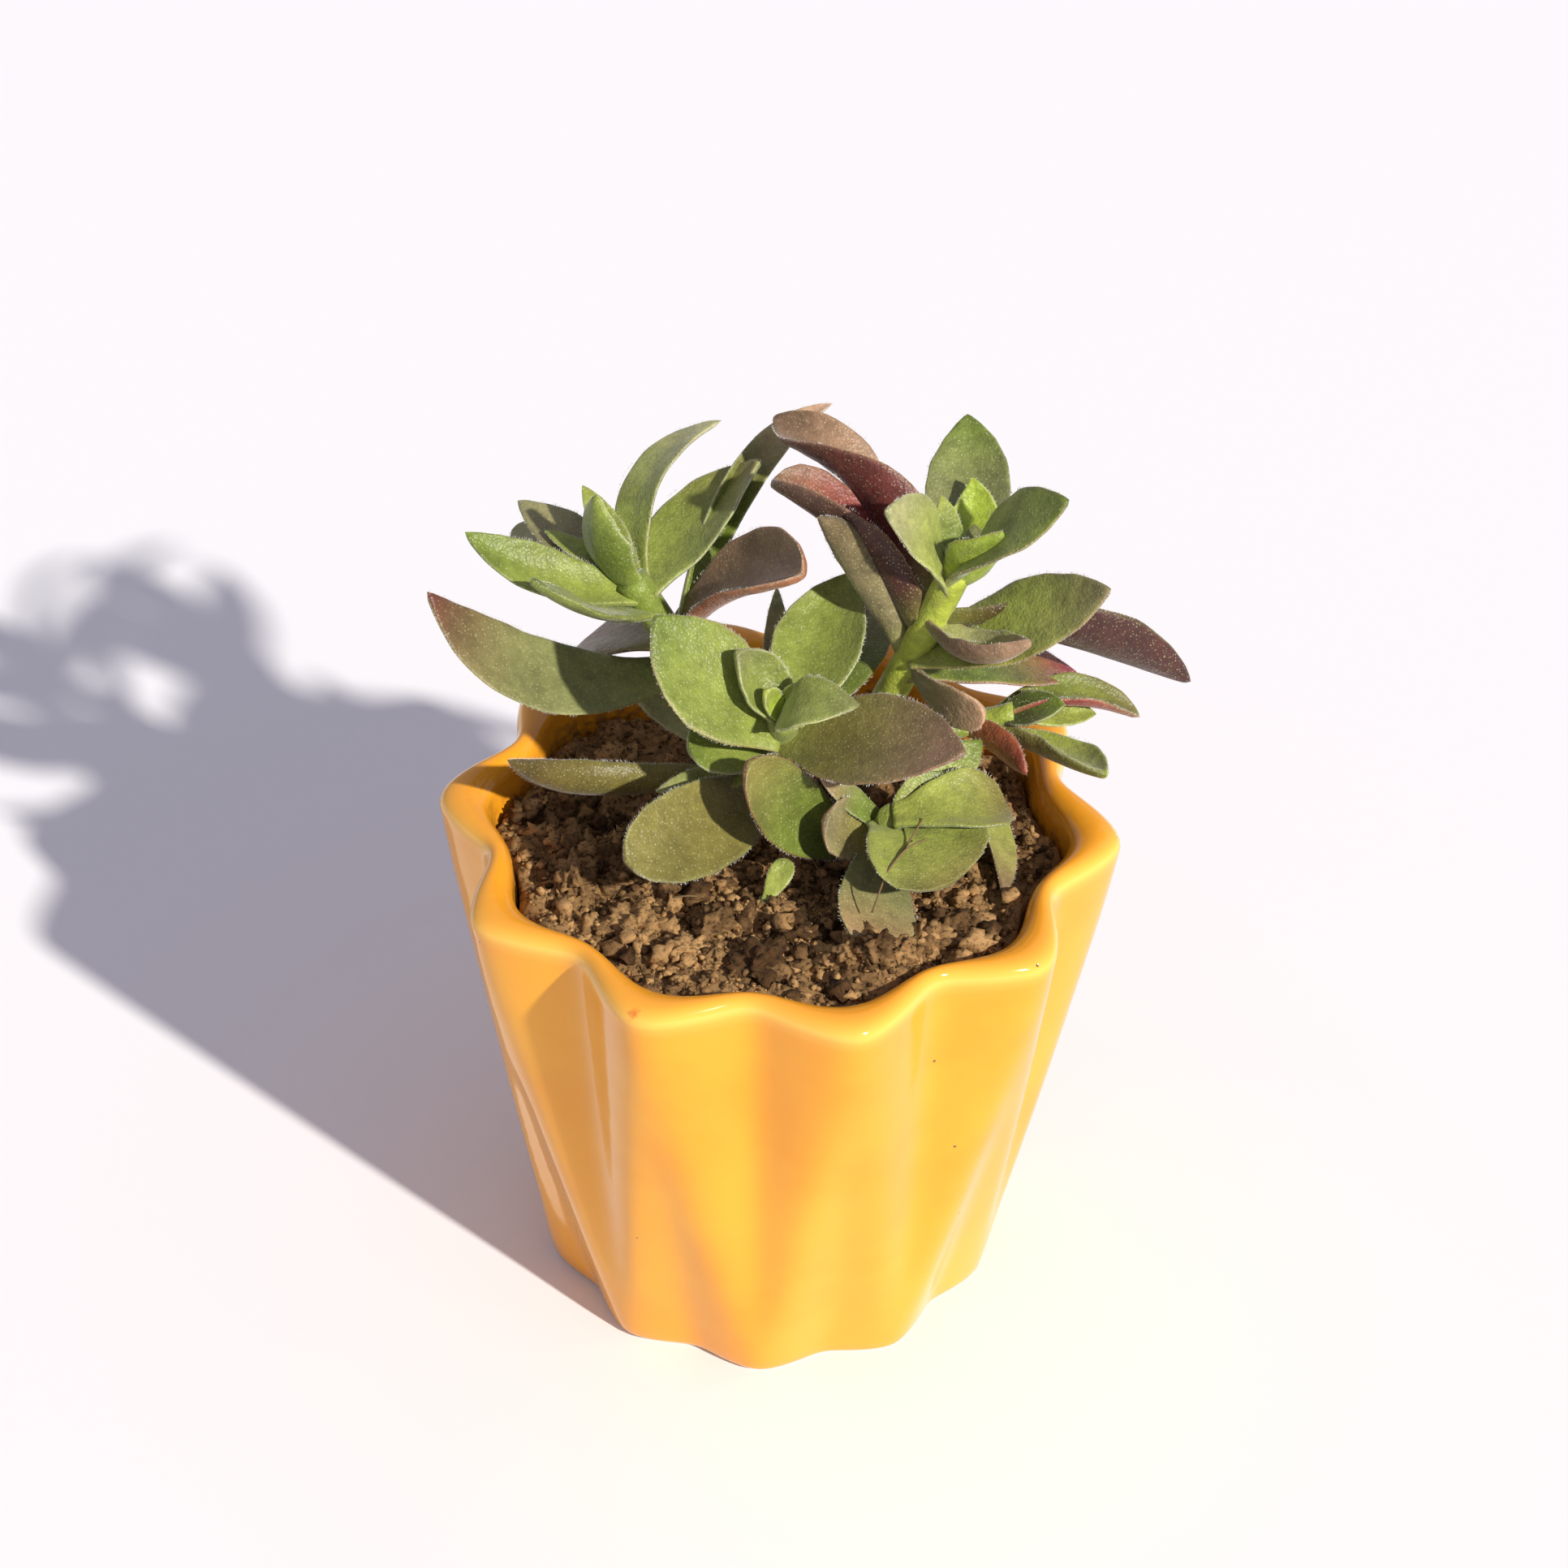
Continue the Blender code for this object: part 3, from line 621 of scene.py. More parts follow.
def dry_potting_soil():
    material, tree, shader = new_material("dry_potting_soil", Roughness=0.95, Specular_IOR_Level=0.2)
    where = add_node(tree, "ShaderNodeTexCoord", "Object")
    patches = add_node(tree, "ShaderNodeTexNoise", "Fac", {
        "Vector": where, "Scale": 1 / (SOIL_PATCH_SIZE * MM), "Detail": 4, "Roughness": 0.55})
    tone = add_node(tree, "ShaderNodeAttribute", "Fac", attribute_name="Tone")
    toned = add_node(tree, "ShaderNodeMath", "Value", {0: patches, 1: tone}, operation="ADD")
    dryness = add_node(tree, "ShaderNodeMapRange", "Result", {
        "Value": toned, "From Min": 0.6, "From Max": 1.3})
    specks = add_node(tree, "ShaderNodeTexNoise", "Fac", {
        "Vector": where, "Scale": 1 / (SOIL_FLECK_SIZE * MM), "Detail": 5, "Roughness": 0.7})
    flecks = add_node(tree, "ShaderNodeMapRange", "Result", {
        "Value": specks, "From Min": 0.48, "From Max": 0.68})
    colour = linear("#553D24")
    for share, layer in ((dryness, "#BC9562"), (flecks, "#241A10")):
        colour = add_node(tree, "ShaderNodeMix", MIXED, {SHARE: share, FIRST: colour, SECOND: linear(layer)},
                          data_type="RGBA")
    tree.links.new(colour, shader.inputs["Base Color"])
    silt = add_node(tree, "ShaderNodeTexNoise", "Fac", {
        "Vector": where, "Scale": 1 / (SILT_SIZE * MM), "Detail": 6, "Roughness": 0.7})
    bump = add_node(tree, "ShaderNodeBump", "Normal", {
        "Height": silt, "Strength": 0.8, "Distance": 0.25 * MM})
    tree.links.new(bump, shader.inputs["Normal"])
    return material


earth = dry_potting_soil()
finish_piece(soil, earth, "soil")
for piece in (crumbs, pebbles, clods):
    finish_piece(piece, earth)

# %% [markdown]
# ## The stems' paths and the leaves
# Four stems rise from the soil and lean out. A leaf is described as a gardener would: how high it sits on
# the stem, where its tip ends, how wide it is, how it bows and sways, how far the blade rolls and folds, and
# whether its tip is pointed or blunt. Its tones name the tissue at the base, at the tip, underneath and
# along the margin; one dark green among them is painted shade for leaves lying in shadow. All leaves then
# grow from one blank by one rule.

# %% Stems and leaves
ROOT_DEPTH = 58
STEMS = {
    "centre": [(1, 8, ROOT_DEPTH), (1, 8, 69), (0, 4, 76), (-0.5, 0, 84), (0.5, -2.5, 91)],
    "left": [(-5, 14.5, ROOT_DEPTH), (-5, 14.5, 69), (-8, 15, 78), (-15, 15, 91), (-20, 15, 100)],
    "right": [(9.5, 12, ROOT_DEPTH), (9.5, 12, 69), (12, 11, 80), (17, 9, 93), (22.5, 8.5, 108)],
    "shoot": [(12, 11, 78), (21, 10, 80), (31, 9, 84)],
    "front": [(12, -1, ROOT_DEPTH), (12, -1, 69), (13, -5, 73), (15, -9, 80)],
    "sprout": [(-1.5, -14.5, 65), (-1.5, -14.5, 70.5)],
}
FACING = {
    "centre": (0, -0.45, 0.89),
    "left": (-0.2, 0, 0.98),
    "right": (0.15, -0.1, 0.98),
    "shoot": (0.6, -0.3, 0.75),
    "front": (0.4, -0.5, 0.77),
    "sprout": (0, -0.6, 0.8),
}
BRANCH_OF = {"shoot": "right"}
POINTED = "pointed"
BLUNT = "blunt"
TISSUE = {
    "lime": "#98AC38",
    "young": "#84913F",
    "fresh": "#96A148",
    "green": "#697A2E",
    # A darker copy of the green, painted as shade on leaves and leaf faces that lie in shadow.
    "deep": "#444F22",
    "olive": "#787238",
    "sage": "#7E8250",
    "grey": "#857C56",
    "silver": "#9C9C6A",
    "brown": "#80664C",
    "wine": "#66322C",
    "plum": "#48261F",
    "crimson": "#92383A",
    "tan": "#B59274",
    "pink": "#C2A088",
    "cream": "#CFCDA4",
    "rust": "#A05C38",
    "dust": "#9A7F58",
}
Leaf = collections.namedtuple("Leaf", "height tip width bow sway roll twist fold shape tones")
# Tones that use the dark shaded green paint shade on leaves lying in shadow.
LEAVES = {
    "centre": [
        Leaf(88, (-16.5, 0.5, 104.5), 15.5, -0.5, -1.5, 10, -10, 0.3, POINTED, "young green fresh pink"),
        Leaf(90, (9, 18, 100), 13.5, -1.5, 0, 5, -20, 0.8, POINTED, "young young fresh cream"),
        Leaf(87, (23.5, -14.5, 95), 14.5, 0, 0, 5, -10, 0.35, POINTED, "olive brown wine tan"),
        Leaf(90, (-6, -0.5, 100), 9, -1, 0.5, 0, 10, 1.0, POINTED, "young sage young cream"),
        Leaf(90, (10, -7, 96.5), 8.5, 3.5, 0.5, -5, -5, 0.4, POINTED, "young sage fresh cream"),
        Leaf(90, (-2, -3.5, 96), 4, -0.5, 0, 0, 0, 1.0, BLUNT, "lime fresh lime cream"),
        Leaf(90, (2.5, -2, 96), 4, -0.5, 0, 0, 0, 1.0, BLUNT, "lime fresh lime cream"),
        Leaf(86, (11, 25, 91), 14, 0, 0, 0, 0, 0.4, BLUNT, "green grey deep grey"),
        Leaf(84, (-12, -5, 87.5), 9, 0, 0, 0, 0, 0.4, BLUNT, "young green green cream"),
        Leaf(80, (-16, -8.5, 83), 4.5, 0, 0, 0, 0, 0.3, POINTED, "fresh silver fresh silver"),
        Leaf(80.5, (-35, -9, 88), 7, -9, 1, 75, 60, 1.0, POINTED, "olive plum olive silver"),
        Leaf(76, (-19.5, -20.5, 81), 13, 1, -1.5, -25, 0, 0.6, BLUNT, "olive olive deep silver"),
        Leaf(84, (-1, 25, 92.5), 4, 0, 0, 0, 0, 0.5, POINTED, "grey silver grey silver"),
        Leaf(80, (-20, 17, 79.5), 6, 0, 0, 0, 0, 0.4, POINTED, "silver silver grey silver"),
    ],
    "left": [
        Leaf(97, (-41.5, 12.5, 108.5), 8.5, -2, -0.5, -10, -35, 0.9, POINTED, "young green young sage"),
        Leaf(95, (-32.5, 5, 106.5), 10, -2, 0, 0, 0, 0.4, POINTED, "young green young sage"),
        Leaf(98, (-36, 30, 102), 8, 0, 0, 0, 0, 0.4, POINTED, "grey silver grey silver"),
        Leaf(97, (-36.5, 33.5, 95.5), 8, 0, 0, 0, 0, 0.4, BLUNT, "grey silver grey silver"),
        Leaf(99, (-32, 23, 102), 4, 0, 0, 0, 0, 0.6, POINTED, "young fresh young cream"),
        Leaf(98, (-24.5, 17.5, 111.5), 10.5, -2, -2, 90, -5, 0.8, POINTED, "young fresh green cream"),
        Leaf(98, (-27, 25, 108), 5, 0, 0, 0, 0, 0.8, POINTED, "young fresh young cream"),
        Leaf(97, (-9, 41, 108.5), 7, 4, -4.5, -15, 5, 0.5, POINTED, "young silver grey cream"),
        Leaf(98, (-3.5, 30, 109.5), 12.5, -1, -1.5, 20, -35, 0.6, POINTED, "young olive green cream"),
        Leaf(89, (6, 47.5, 107.5), 6.5, 8, 0.5, 65, -40, 1.3, POINTED, "green tan silver silver"),
        Leaf(90, (2.5, 4, 109), 14, 2, -2.5, 15, 0, 1.25, BLUNT, "brown brown rust tan"),
        Leaf(86, (-46, 6, 103.5), 12, -7, -1, -15, -25, 0.3, POINTED, "sage wine fresh grey"),
        Leaf(90, (-27, 24.5, 82.5), 12, 1, 0, 0, 0, 0.3, BLUNT, "grey brown wine grey"),
    ],
    "right": [
        Leaf(107, (23.5, 29, 118), 12, -1, 1, -15, 5, 0.6, POINTED, "sage green grey silver"),
        Leaf(105, (35.5, 3, 122), 11, 1, 0, -15, 60, 0.4, POINTED, "young green green pink"),
        Leaf(104, (12.5, 4, 119), 10, 1.5, 1.5, -15, -25, 0.4, POINTED, "fresh silver fresh cream"),
        Leaf(108, (24, 18.5, 115), 7.5, -2, 1.5, -25, 15, 0.8, POINTED, "lime lime lime cream"),
        Leaf(105, (27.5, 4.5, 116), 9, -0.5, 0.5, -70, 55, 1.0, POINTED, "lime green lime tan"),
        Leaf(107, (20, 15.5, 114), 4, 0, 0, 0, 0, 0.8, POINTED, "green fresh young cream"),
        Leaf(93, (41.5, 1, 110), 13, -1, -0.5, 10, 25, 0.3, POINTED, "fresh grey olive tan"),
        Leaf(99, (54.5, 14.5, 86), 12.5, 3, 0.5, -50, -25, 0.9, POINTED, "plum plum plum silver"),
        Leaf(99, (31.5, -3, 104.5), 10.5, -3.5, 1, -20, 10, 1.3, POINTED, "silver tan brown tan"),
        Leaf(95, (15, 24, 100.5), 5.5, 0, 0, 0, 0, 0.5, POINTED, "green deep deep green"),
        Leaf(92, (4, 6, 116.5), 7, 1.5, 2.5, 120, 5, 1.2, POINTED, "young plum grey silver"),
        Leaf(96, (-2, 18, 114), 14, 3, 0, 70, -60, 1.3, BLUNT, "crimson brown plum tan"),
        Leaf(100.5, (-2, 33.5, 114), 15, 3.5, 0, 165, -210, 1.1, POINTED, "tan brown wine tan"),
        Leaf(90, (40, 19, 83), 11, 2, 0, 0, 0, 0.4, POINTED, "green crimson crimson pink"),
        Leaf(92, (26.5, -0.5, 91), 7.5, -1, 1, 110, -15, 0.4, BLUNT, "grey tan grey tan"),
    ],
    "shoot": [
        Leaf(79.8, (29.5, -13, 70.5), 5.5, 0, -4, 0, 0, 0.5, POINTED, "fresh brown young tan"),
        Leaf(81, (32.5, 1, 80), 6, 1, -0.5, -60, -20, 0.5, POINTED, "rust crimson rust tan"),
        Leaf(83, (48, 13, 81), 7.5, 2, -2, -35, 20, 1.3, POINTED, "young olive crimson tan"),
        Leaf(83, (37.5, 8, 86.5), 6, 0, 0, 0, 0, 0.8, POINTED, "deep green deep cream"),
        Leaf(83.8, (42, 11.5, 82.5), 5, 0, 0, 0, 0, 0.8, POINTED, "fresh young fresh cream"),
        Leaf(82, (42.5, -4, 84), 9, -2, -3.5, -35, 45, 1.2, POINTED, "fresh fresh olive cream"),
    ],
    "front": [
        Leaf(78, (22.5, -19, 77.5), 18.5, 1, 0.5, -10, 15, 0.4, BLUNT, "fresh olive green silver"),
        Leaf(80, (29.5, -4.5, 79), 11, 2, 0, -25, 5, 0.8, BLUNT, "fresh olive green sage"),
        Leaf(79, (26.5, 3, 84), 7, 0, 0, 0, 0, 0.4, POINTED, "fresh green green cream"),
        Leaf(79, (21.5, -3.5, 83.5), 6, 0, 0, 0, 0, 0.6, POINTED, "fresh green fresh cream"),
        Leaf(79, (18.5, -7.5, 80), 3, 0, 0, 0, 0, 0.8, POINTED, "fresh fresh fresh cream"),
        Leaf(77, (6, -12.5, 82.5), 8.5, -1.5, -0.5, 0, -20, 0.4, BLUNT, "olive grey wine tan"),
        Leaf(72, (-4, -12, 91), 11, -2, -2, -40, 25, 0.7, BLUNT, "green olive crimson wine"),
        Leaf(77, (5, -8, 86), 4, 0, 0, 0, 0, 0.5, POINTED, "green tan green cream"),
        Leaf(75, (12.5, -26, 72), 11.5, -0.5, 0, -15, 25, 0.3, BLUNT, "sage dust green silver"),
    ],
    "sprout": [
        Leaf(70, (1.5, -10.5, 74), 3.4, 0, 0, 0, 0, 0.5, BLUNT, "fresh young fresh cream"),
    ],
}
print("leaves:", sum(len(leaves) for leaves in LEAVES.values()))

# %% [markdown]
# ## One blank for all leaves
# The blank is a straight closed tube: a circle extruded along its own axis. Its x runs across the blade from
# margin to margin, its y from the lower to the upper face, and its z from root to tip. A circle packs its
# points close at the margins, where a leaf needs them. Every leaf is a copy of the blank, bent to shape.

# %% The blank
BLADE_SIDES = 28
BLADE_STATIONS = 34
ROOT_CROWDING = 1.15


def blade_blank():
    turns = np.arange(BLADE_SIDES) / BLADE_SIDES * 2 * math.pi
    rings = []
    for station in range(BLADE_STATIONS + 1):
        along = math.sin(station / BLADE_STATIONS * math.pi / 2) ** ROOT_CROWDING
        rings.append(np.stack([np.cos(turns), np.sin(turns), np.full(BLADE_SIDES, along)], axis=1))
    blank = extruded_skin("blade_blank", rings)
    points = points_of(blank)
    faces = [tuple(face.vertices) for face in blank.data.polygons]
    bpy.data.objects.remove(blank)
    return points, faces


BLANK_POINTS, BLANK_FACES = blade_blank()
print("points in a blade:", len(BLANK_POINTS))

# %% [markdown]
# ## Growing a leaf
# A succulent leaf is a gutter: thick in the middle, thin at the margins and folded along its length. For
# each point of the blank the rule finds the place on the leaf's bowed midline, swings out along an arc of
# the fold, and adds the thickness. The same rule also places the hairs, which stand on the margins. Formulas
# on whole arrays grow a leaf in a millisecond, where a lattice or curve modifier for each would be slow.

# %% Leaf rule
OUTLINE_STATIONS = (0, 0.12, 0.3, 0.5, 0.68, 0.84, 0.94, 0.98, 1)
OUTLINES = {
    POINTED: (0.42, 0.55, 0.86, 1.0, 0.90, 0.60, 0.28, 0.11, 0),
    BLUNT: (0.38, 0.46, 0.70, 0.93, 1.0, 0.89, 0.62, 0.36, 0),
}
THICKEST = 1.7
THICKNESS_AT_NO_WIDTH = 0.8
THICKNESS_PER_WIDTH = 0.09
THINNING_TO_TIP = 0.3
STRAIGHT_SECTION = 3
NARROW_HALF = 0.8
BROAD_HALF = 4
GROOVE_DEPTH = 0.12
GROOVE_HALF = 0.12
MARGIN_WAVE = 0.16
WAVES_ALONG = 17
WAVES_ACROSS = 2
NECK_LENGTH = 0.25
NECK_TINT = 0.6
TIP_TONE_START = (0.3, 0.45)
TIP_TONE_RUN = 0.55
TIP_TONE_CURVE = 1.7
MARGIN_START = 0.95
MARGIN_TINT = 0.4
LEAF_BRIGHTNESS = (0.92, 1.08)


def unit(vectors):
    vectors = np.asarray(vectors, float)
    return vectors / np.linalg.norm(vectors, axis=-1, keepdims=True)


def dot(first, second):
    return np.sum(first * second, axis=-1, keepdims=True)


def turned(vectors, axes, angle):
    """Vectors turned about unit axes by angles in degrees."""
    cosine, sine = np.cos(np.radians(angle)), np.sin(np.radians(angle))
    return vectors * cosine + np.cross(axes, vectors) * sine + axes * dot(axes, vectors) * (1 - cosine)


def half_width(leaf, along):
    """Half the blade's width along it, smoothed so that the margin has no corners."""
    steps = np.clip(along[None] + np.linspace(-0.06, 0.06, 7)[:, None] * (1 - along[None]), 0, 1)
    return leaf.width / 2 * np.interp(steps, OUTLINE_STATIONS, OUTLINES[leaf.shape]).mean(axis=0)


def on_path(path, height):
    """The point of a rising path at a height."""
    path = np.array(path, float)
    return np.array([np.interp(height, path[:, 2], path[:, axis]) for axis in range(3)])


def grow(blank, leaf, root, facing, phase=0.0):
    """Bends points of the blank to the leaf. Also gives the way out of the leaf's axis at each point."""
    across, lift, along = blank.T
    chord = np.array(leaf.tip, float) - root
    face = unit(facing)
    face = unit(face - unit(chord) * (unit(chord) @ face))
    arch = face * leaf.bow + np.cross(unit(chord), face) * leaf.sway
    run = along[:, None]
    middle = root + chord * run + arch * 4 * run * (1 - run)
    forward = unit(chord + arch * 4 * (1 - 2 * run))
    upward = turned(unit(face - forward * dot(forward, face)), forward, leaf.roll + leaf.twist * run)
    sideways = np.cross(forward, upward)
    half = half_width(leaf, along)
    swing = leaf.fold * across
    lean = swing * np.minimum(1, half / STRAIGHT_SECTION)
    out = half * np.sin(swing) / leaf.fold
    rise = half * (1 - np.cos(swing)) / leaf.fold
    broadness = np.minimum(1, half / BROAD_HALF)
    wave = np.sin(along * WAVES_ALONG + across * WAVES_ACROSS + phase)
    rise += MARGIN_WAVE * broadness * np.abs(across) ** 3 * wave
    body = min(THICKEST, THICKNESS_AT_NO_WIDTH + THICKNESS_PER_WIDTH * leaf.width)
    thickness = body / 2 * (1 - THINNING_TO_TIP * along) * lift * np.minimum(1, half / NARROW_HALF)
    groove = GROOVE_DEPTH * np.exp(-(across / GROOVE_HALF) ** 2) * (lift > 0) * broadness
    normal = upward * np.cos(lean)[:, None] - sideways * np.sin(lean)[:, None]
    points = middle + sideways * out[:, None] + upward * rise[:, None]
    points = points + normal * (thickness - groove)[:, None]
    outward = sideways * (np.sign(across) * np.cos(swing))[:, None] + upward * np.abs(np.sin(swing))[:, None]
    return points, outward, forward


def tissue_colours(blank, leaf, draw):
    """A colour for each point of a leaf, from its four tones."""
    base, tip, under, margin = [np.array(linear(TISSUE[tone])) for tone in leaf.tones.split()]
    across, lift, along = blank.T
    start = draw.uniform(*TIP_TONE_START)
    toward_tip = np.clip((along - start) / TIP_TONE_RUN, 0, 1)[:, None] ** TIP_TONE_CURVE
    upper = base * (1 - toward_tip) + tip * toward_tip
    lower = under * (1 - 0.5 * toward_tip) + tip * 0.5 * toward_tip
    share_upper = np.clip(lift * 4 + 0.5, 0, 1)[:, None]
    colours = upper * share_upper + lower * (1 - share_upper)
    neck = np.clip((NECK_LENGTH - along) / NECK_LENGTH, 0, 1)[:, None] * NECK_TINT
    colours = colours * (1 - neck) + np.array(linear(TISSUE["fresh"])) * neck
    edge = np.clip((np.abs(across) - MARGIN_START) / (1 - MARGIN_START), 0, 1)[:, None] * MARGIN_TINT
    return (colours * (1 - edge) + margin * edge) * draw.uniform(*LEAF_BRIGHTNESS)


print("widest leaf:", max(leaf.width for leaves in LEAVES.values() for leaf in leaves), "mm")

# %% [markdown]
# ## Stems
# A stem is a round rod that follows its path. A curve with a bevel gives the rod in one step. It is turned to
# a mesh, so that it can carry a colour for each point, from brown bark at the soil to green further up.

# %% Stem rods
STEM_RADIUS = 2.2
BRANCH_RADIUS = 1.7
SPROUT_RADIUS = 0.9
STEM_RADII = {"shoot": BRANCH_RADIUS, "sprout": SPROUT_RADIUS}
GREENING_HEIGHT = 12
BARK = {"centre": "#88934A", "left": "#84963F", "right": "#AEBB46", "shoot": "#9FAF48", "front": "#8C9A44",
        "sprout": "#8FB25A"}


def rod_along(name, path, radius, roundness):
    """A round rod along a path, as a mesh object."""
    curve = bpy.data.curves.new("rod", "CURVE")
    curve.dimensions = "3D"
    curve.bevel_depth = radius * MM
    curve.bevel_resolution = roundness
    curve.use_fill_caps = True
    curve.resolution_u = 10
    spline = curve.splines.new("NURBS")
    spline.points.add(len(path) - 1)
    spline.use_endpoint_u = True
    spline.order_u = 3
    for target, place in zip(spline.points, path):
        target.co = (*(Vector(place) * MM), 1)
    rod = bpy.data.objects.new("rod_" + name, curve)
    bpy.context.scene.collection.objects.link(rod)
    select_only(rod)
    bpy.ops.object.convert(target="MESH")
    rod = bpy.context.object
    bpy.ops.object.mode_set(mode="EDIT")
    bpy.ops.mesh.select_all(action="SELECT")
    bpy.ops.mesh.remove_doubles(threshold=1e-6)
    bpy.ops.mesh.normals_make_consistent(inside=False)
    bpy.ops.object.mode_set(mode="OBJECT")
    return rod


def stem_rod(name):
    """The rod of a stem, with brown bark at the soil and green above."""
    rod = rod_along(name, STEMS[name], STEM_RADII.get(name, STEM_RADIUS), 4)
    heights = points_of(rod)[:, 2] / MM
    green = np.clip((heights - SOIL_TOP) / GREENING_HEIGHT, 0, 1)[:, None]
    store(rod, "Tissue", np.array(linear("#6A5238")) * (1 - green) + np.array(linear(BARK[name])) * green)
    return rod


def parts_of(name):
    """A stem and the branches that grow from it."""
    return [name] + [branch for branch, parent in BRANCH_OF.items() if parent == name]


# %% [markdown]
# ## Root fibres
# Old roots dry to brown threads that lie on the soil, and one long thread is caught on a front leaf. Each is
# a rod like a stem's, a quarter of a millimetre thick, so the same function makes it.

# %% Fibres
FIBRE_RADIUS = 0.13
FIBRES = [
    [(18.6, -11.0, 81.7), (17.1, -13.2, 79.9), (15.5, -17.4, 80.4), (13.9, -20.9, 80.7), (12.9, -22.5, 78),
     (12.2, -22.8, 75.5)],
    [(15.5, -17.4, 80.4), (16.6, -15.2, 80.5), (18.9, -14.5, 81.0)],
    [(4.4, -10.7, 74.5), (5.8, -10.2, 71.5), (6.6, -11.5, 68.9)],
    [(3.2, -22.4, 69.6), (3.8, -21.5, 71.7), (5.3, -17.8, 70.1)],
    [(9.2, -26.0, 69.8), (9.9, -26.4, 73.0), (10.8, -27.4, 70.2)],
    [(-6, -24.5, 70.0), (-4.0, -23.6, 71.4), (-2.2, -24.8, 70.2)],
    [(-14, -14.5, 70.2), (-11.6, -15.5, 71.8), (-9.5, -14.2, 70.3)],
]


def dry_root():
    material, _, _ = new_material("dry_root_fibre", Base_Color=linear("#7A6244"), Roughness=0.8)
    return material


fibre_rods = [rod_along("fibre", path, FIBRE_RADIUS, 1) for path in FIBRES]
clear_selection()
for rod in fibre_rods:
    rod.select_set(True)
bpy.context.view_layer.objects.active = fibre_rods[0]
bpy.ops.object.join()
fibres = bpy.context.object
fibres.name = "root_fibres"
finish_piece(fibres, dry_root())
print("root fibres:", len(FIBRES))

# %% [markdown]
# ## Leafy stems
# Each stem's leaves are copies of the blank, bent by the rule and gathered in one mesh, which is then joined
# to its rod. The side shoot is joined to the stem that it grows from. Joined pieces keep the colours stored
# on their points, so one material serves them all.

# %% Leafy stems


def leafy_stem(name, draw):
    rods, parts, colours = [], [], []
    for part in parts_of(name):
        rods.append(stem_rod(part))
        for leaf in LEAVES[part]:
            root = on_path(STEMS[part], leaf.height)
            points, _, _ = grow(BLANK_POINTS, leaf, root, FACING[part], draw.uniform(0, 6))
            parts.append(points * MM)
            colours.append(tissue_colours(BLANK_POINTS, leaf, draw))
    faces, start = [], 0
    for points in parts:
        faces += [tuple(corner + start for corner in face) for face in BLANK_FACES]
        start += len(points)
    mesh = bpy.data.meshes.new("leafy_stem_" + name)
    mesh.from_pydata(np.concatenate(parts).tolist(), [], faces)
    leaves = bpy.data.objects.new("leafy_stem_" + name, mesh)
    bpy.context.scene.collection.objects.link(leaves)
    store(leaves, "Tissue", np.concatenate(colours))
    select_only(leaves)
    for rod in rods:
        rod.select_set(True)
    bpy.ops.object.join()
    bpy.ops.object.mode_set(mode="EDIT")
    bpy.ops.mesh.select_all(action="SELECT")
    bpy.ops.mesh.remove_doubles(threshold=1e-6)
    bpy.ops.mesh.normals_make_consistent(inside=False)
    bpy.ops.object.mode_set(mode="OBJECT")
    return leaves


draw = np.random.default_rng(5)
leafy_stems = {name: leafy_stem(name, draw) for name in STEMS if name not in BRANCH_OF}
print("leafy stems:", ", ".join(leafy_stems))

# %% [markdown]
# ## Margin hairs
# A close look shows a fringe of fine pale hairs along every margin. Each is a slim cone with three sides,
# which is enough for something thinner than a pixel. They are modelled as real cones and not as a hair
# system, because hair systems don't leave Blender with the mesh.

# %% Hairs
HAIR_SPACING = 0.24
HAIR_LENGTH = 0.42
HAIR_RADIUS = 0.035
HAIR_SINK = 0.1
HAIR_TURNS = (0, 2.1, 4.2)
HAIRY_SHARE = 0.8
HAIRY_STRETCH = (0.2, 0.995)
HAIR_LEAN = 0.35
HAIR_DISORDER = 0.22
HAIR_LENGTHS = (0.6, 1.15)
FULL_HAIR_WIDTH = 7
HAIR_FACES = np.array([(0, 1, 3), (1, 2, 3), (2, 0, 3), (2, 1, 0)])


def hair_cone(foot, way, first, second, length):
    """A cone with three sides, whose foot is sunk a little in the leaf."""
    ring = []
    for turn in HAIR_TURNS:
        side = first * math.cos(turn) + second * math.sin(turn)
        ring.append(foot - HAIR_SINK * way + HAIR_RADIUS * side)
    return np.array(ring + [foot + way * length]) * MM


def margin_hairs(name, draw):
    parts = []
    for part in parts_of(name):
        for leaf in LEAVES[part]:
            root = on_path(STEMS[part], leaf.height)
            length = np.linalg.norm(np.array(leaf.tip) - root)
            count = int(length * HAIRY_SHARE / HAIR_SPACING)
            for side in (-1, 1):
                along = np.sort(draw.uniform(*HAIRY_STRETCH, count))
                margin = np.stack([np.full(count, side), np.zeros(count), along], axis=1)
                feet, outward, forward = grow(margin, leaf, root, FACING[part])
                wander = draw.normal(0, HAIR_DISORDER, (count, 3))
                ways = unit(outward + HAIR_LEAN * forward + wander)
                fullness = min(1, leaf.width / FULL_HAIR_WIDTH)
                lengths = HAIR_LENGTH * draw.uniform(*HAIR_LENGTHS, count) * fullness
                around = unit(np.cross(ways, forward))
                across = np.cross(ways, around)
                for hair in zip(feet, ways, around, across, lengths):
                    parts.append((hair_cone(*hair), HAIR_FACES))
    return merged("margin_hairs_" + name, parts)


hairs = {name: margin_hairs(name, draw) for name in leafy_stems}
print("hairs:", sum(len(piece.data.polygons) for piece in hairs.values()) // len(HAIR_FACES))
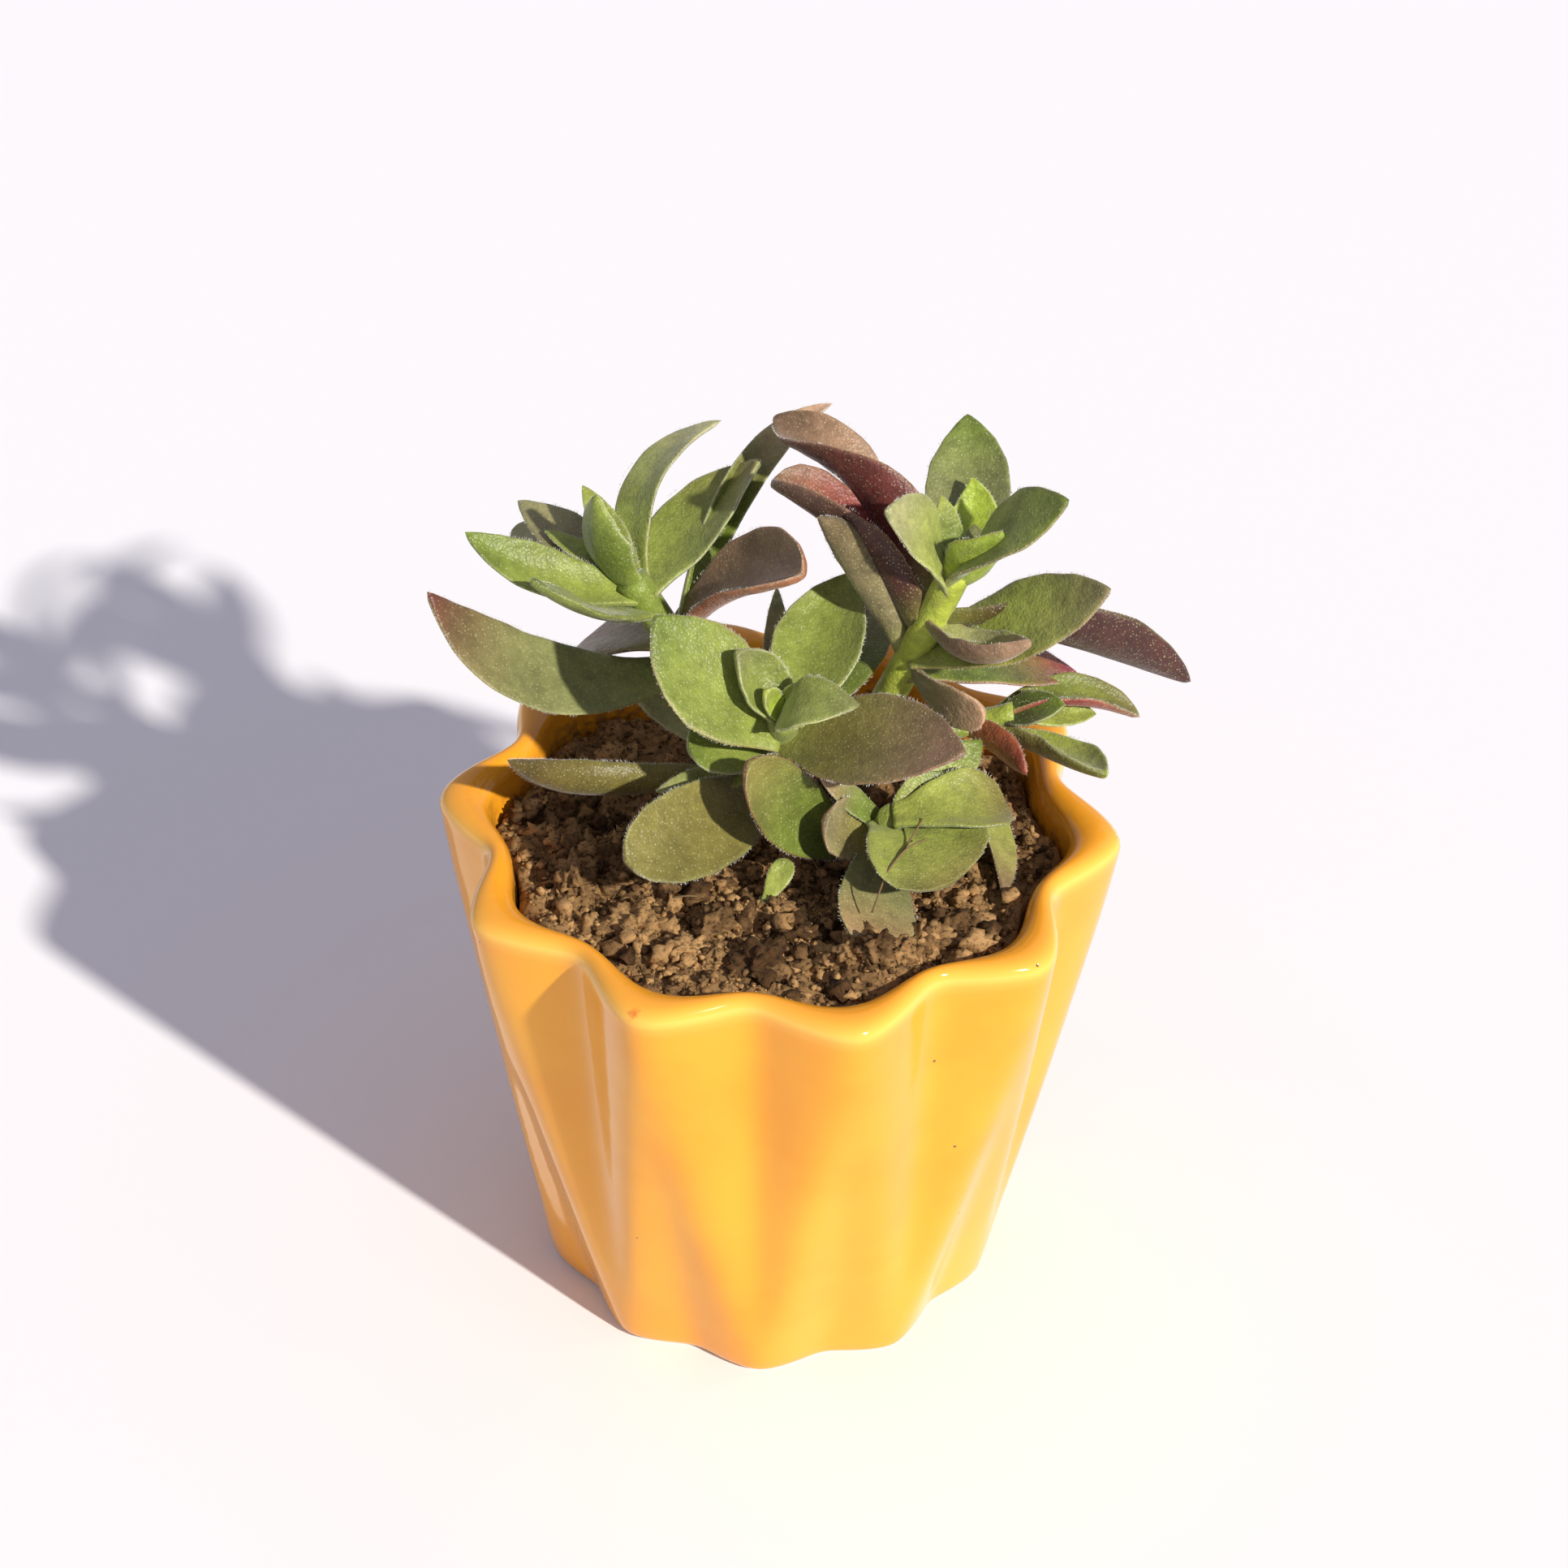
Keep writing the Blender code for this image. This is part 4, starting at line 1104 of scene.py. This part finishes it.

# %% [markdown]
# ## Succulent leaf
# A fleshy leaf is waxy skin over watery tissue: light soaks in and glows a little greener, and the skin is
# dotted with tiny papillae that look like sugar. The stored colour gives the tissue, two sizes of noise
# mottle it, and small cells make the papillae as pale dots, some brighter than others: partly the papillae's
# own pale colour and partly painted glints of light. They are drawn at four tenths of a millimetre, about
# twice life size, so that they show. Hairs are nearly colourless and catch the light.

# %% Leaf and hair materials
PAPILLA_SIZE = 0.4
BLOTCH_SIZE = 1.4
LEAF_CLOUD_SIZE = 5
DIMPLE_SIZE = 1.3


def succulent_leaf(name, roughness, mottle):
    material, tree, shader = new_material(
        name, Roughness=roughness, IOR=1.42, Sheen_Weight=0.25, Sheen_Roughness=0.4, Subsurface_Weight=0.15,
        Subsurface_Radius=(0.7, 1.0, 0.35), Subsurface_Scale=0.8 * MM)
    tissue = add_node(tree, "ShaderNodeAttribute", "Color", attribute_name="Tissue")
    where = add_node(tree, "ShaderNodeTexCoord", "Object")
    blotches = add_node(tree, "ShaderNodeTexNoise", "Fac", {
        "Vector": where, "Scale": 1 / (BLOTCH_SIZE * MM), "Detail": 6, "Roughness": 0.7})
    clouds = add_node(tree, "ShaderNodeTexNoise", "Fac", {
        "Vector": where, "Scale": 1 / (LEAF_CLOUD_SIZE * MM), "Detail": 3, "Roughness": 0.55})
    broad = add_node(tree, "ShaderNodeMath", "Value", {0: blotches, 1: clouds}, operation="ADD")
    patches = add_node(tree, "ShaderNodeMapRange", "Result", {
        "Value": broad, "From Min": 0.75, "From Max": 1.25, "To Min": 1 - mottle, "To Max": 1 + mottle})
    shade = add_node(tree, "ShaderNodeCombineColor", "Color", {
        "Red": patches, "Green": patches, "Blue": patches})
    mottled = add_node(tree, "ShaderNodeMix", MIXED, {SHARE: 1.0, FIRST: tissue, SECOND: shade},
                       data_type="RGBA", blend_type="MULTIPLY")
    domes = add_node(tree, "ShaderNodeTexVoronoi", "Distance", {
        "Vector": where, "Scale": 1 / (PAPILLA_SIZE * MM)})
    dots = add_node(tree, "ShaderNodeMapRange", "Result", {
        "Value": domes, "From Min": 0.12, "From Max": 0.34, "To Min": 1, "To Max": 0})
    chance = add_node(tree, "ShaderNodeSeparateColor", "Red", {"Color": domes.node.outputs["Color"]})
    glint = add_node(tree, "ShaderNodeMapRange", "Result", {
        "Value": chance, "From Min": 0.2, "To Min": 0.05, "To Max": 0.5})
    # Pale papilla dots: partly the papillae's own pale colour, partly painted glints of light.
    papillae_and_glints = add_node(tree, "ShaderNodeMath", "Value", {0: dots, 1: glint}, operation="MULTIPLY")
    skin = add_node(tree, "ShaderNodeMix", MIXED, {SHARE: papillae_and_glints, FIRST: mottled, SECOND: linear("#D8DCA8")},
                    data_type="RGBA")
    tree.links.new(skin, shader.inputs["Base Color"])
    bump = add_node(tree, "ShaderNodeBump", "Normal", {
        "Height": domes, "Strength": 0.5, "Distance": 0.12 * MM}, invert=True)
    dimples = add_node(tree, "ShaderNodeTexNoise", "Fac", {
        "Vector": where, "Scale": 1 / (DIMPLE_SIZE * MM), "Detail": 4, "Roughness": 0.55})
    swell = add_node(tree, "ShaderNodeBump", "Normal", {
        "Height": dimples, "Strength": 0.5, "Distance": 0.4 * MM, "Normal": bump})
    tree.links.new(swell, shader.inputs["Normal"])
    return material


def clear_hair():
    material, _, _ = new_material("clear_leaf_hair", Base_Color=linear("#F1F1E6"), Roughness=0.5)
    return material


younger = succulent_leaf("succulent_leaf", 0.4, 0.26)
older = succulent_leaf("old_succulent_leaf", 0.44, 0.32)
hair_skin = clear_hair()
CAD_NODES = {"sprout": "sprout_leaf"}
for name, piece in leafy_stems.items():
    aged = name == "right"
    finish_piece(piece, older if aged else younger, CAD_NODES.get(name, "stem_" + name))
    finish_piece(hairs[name], hair_skin)
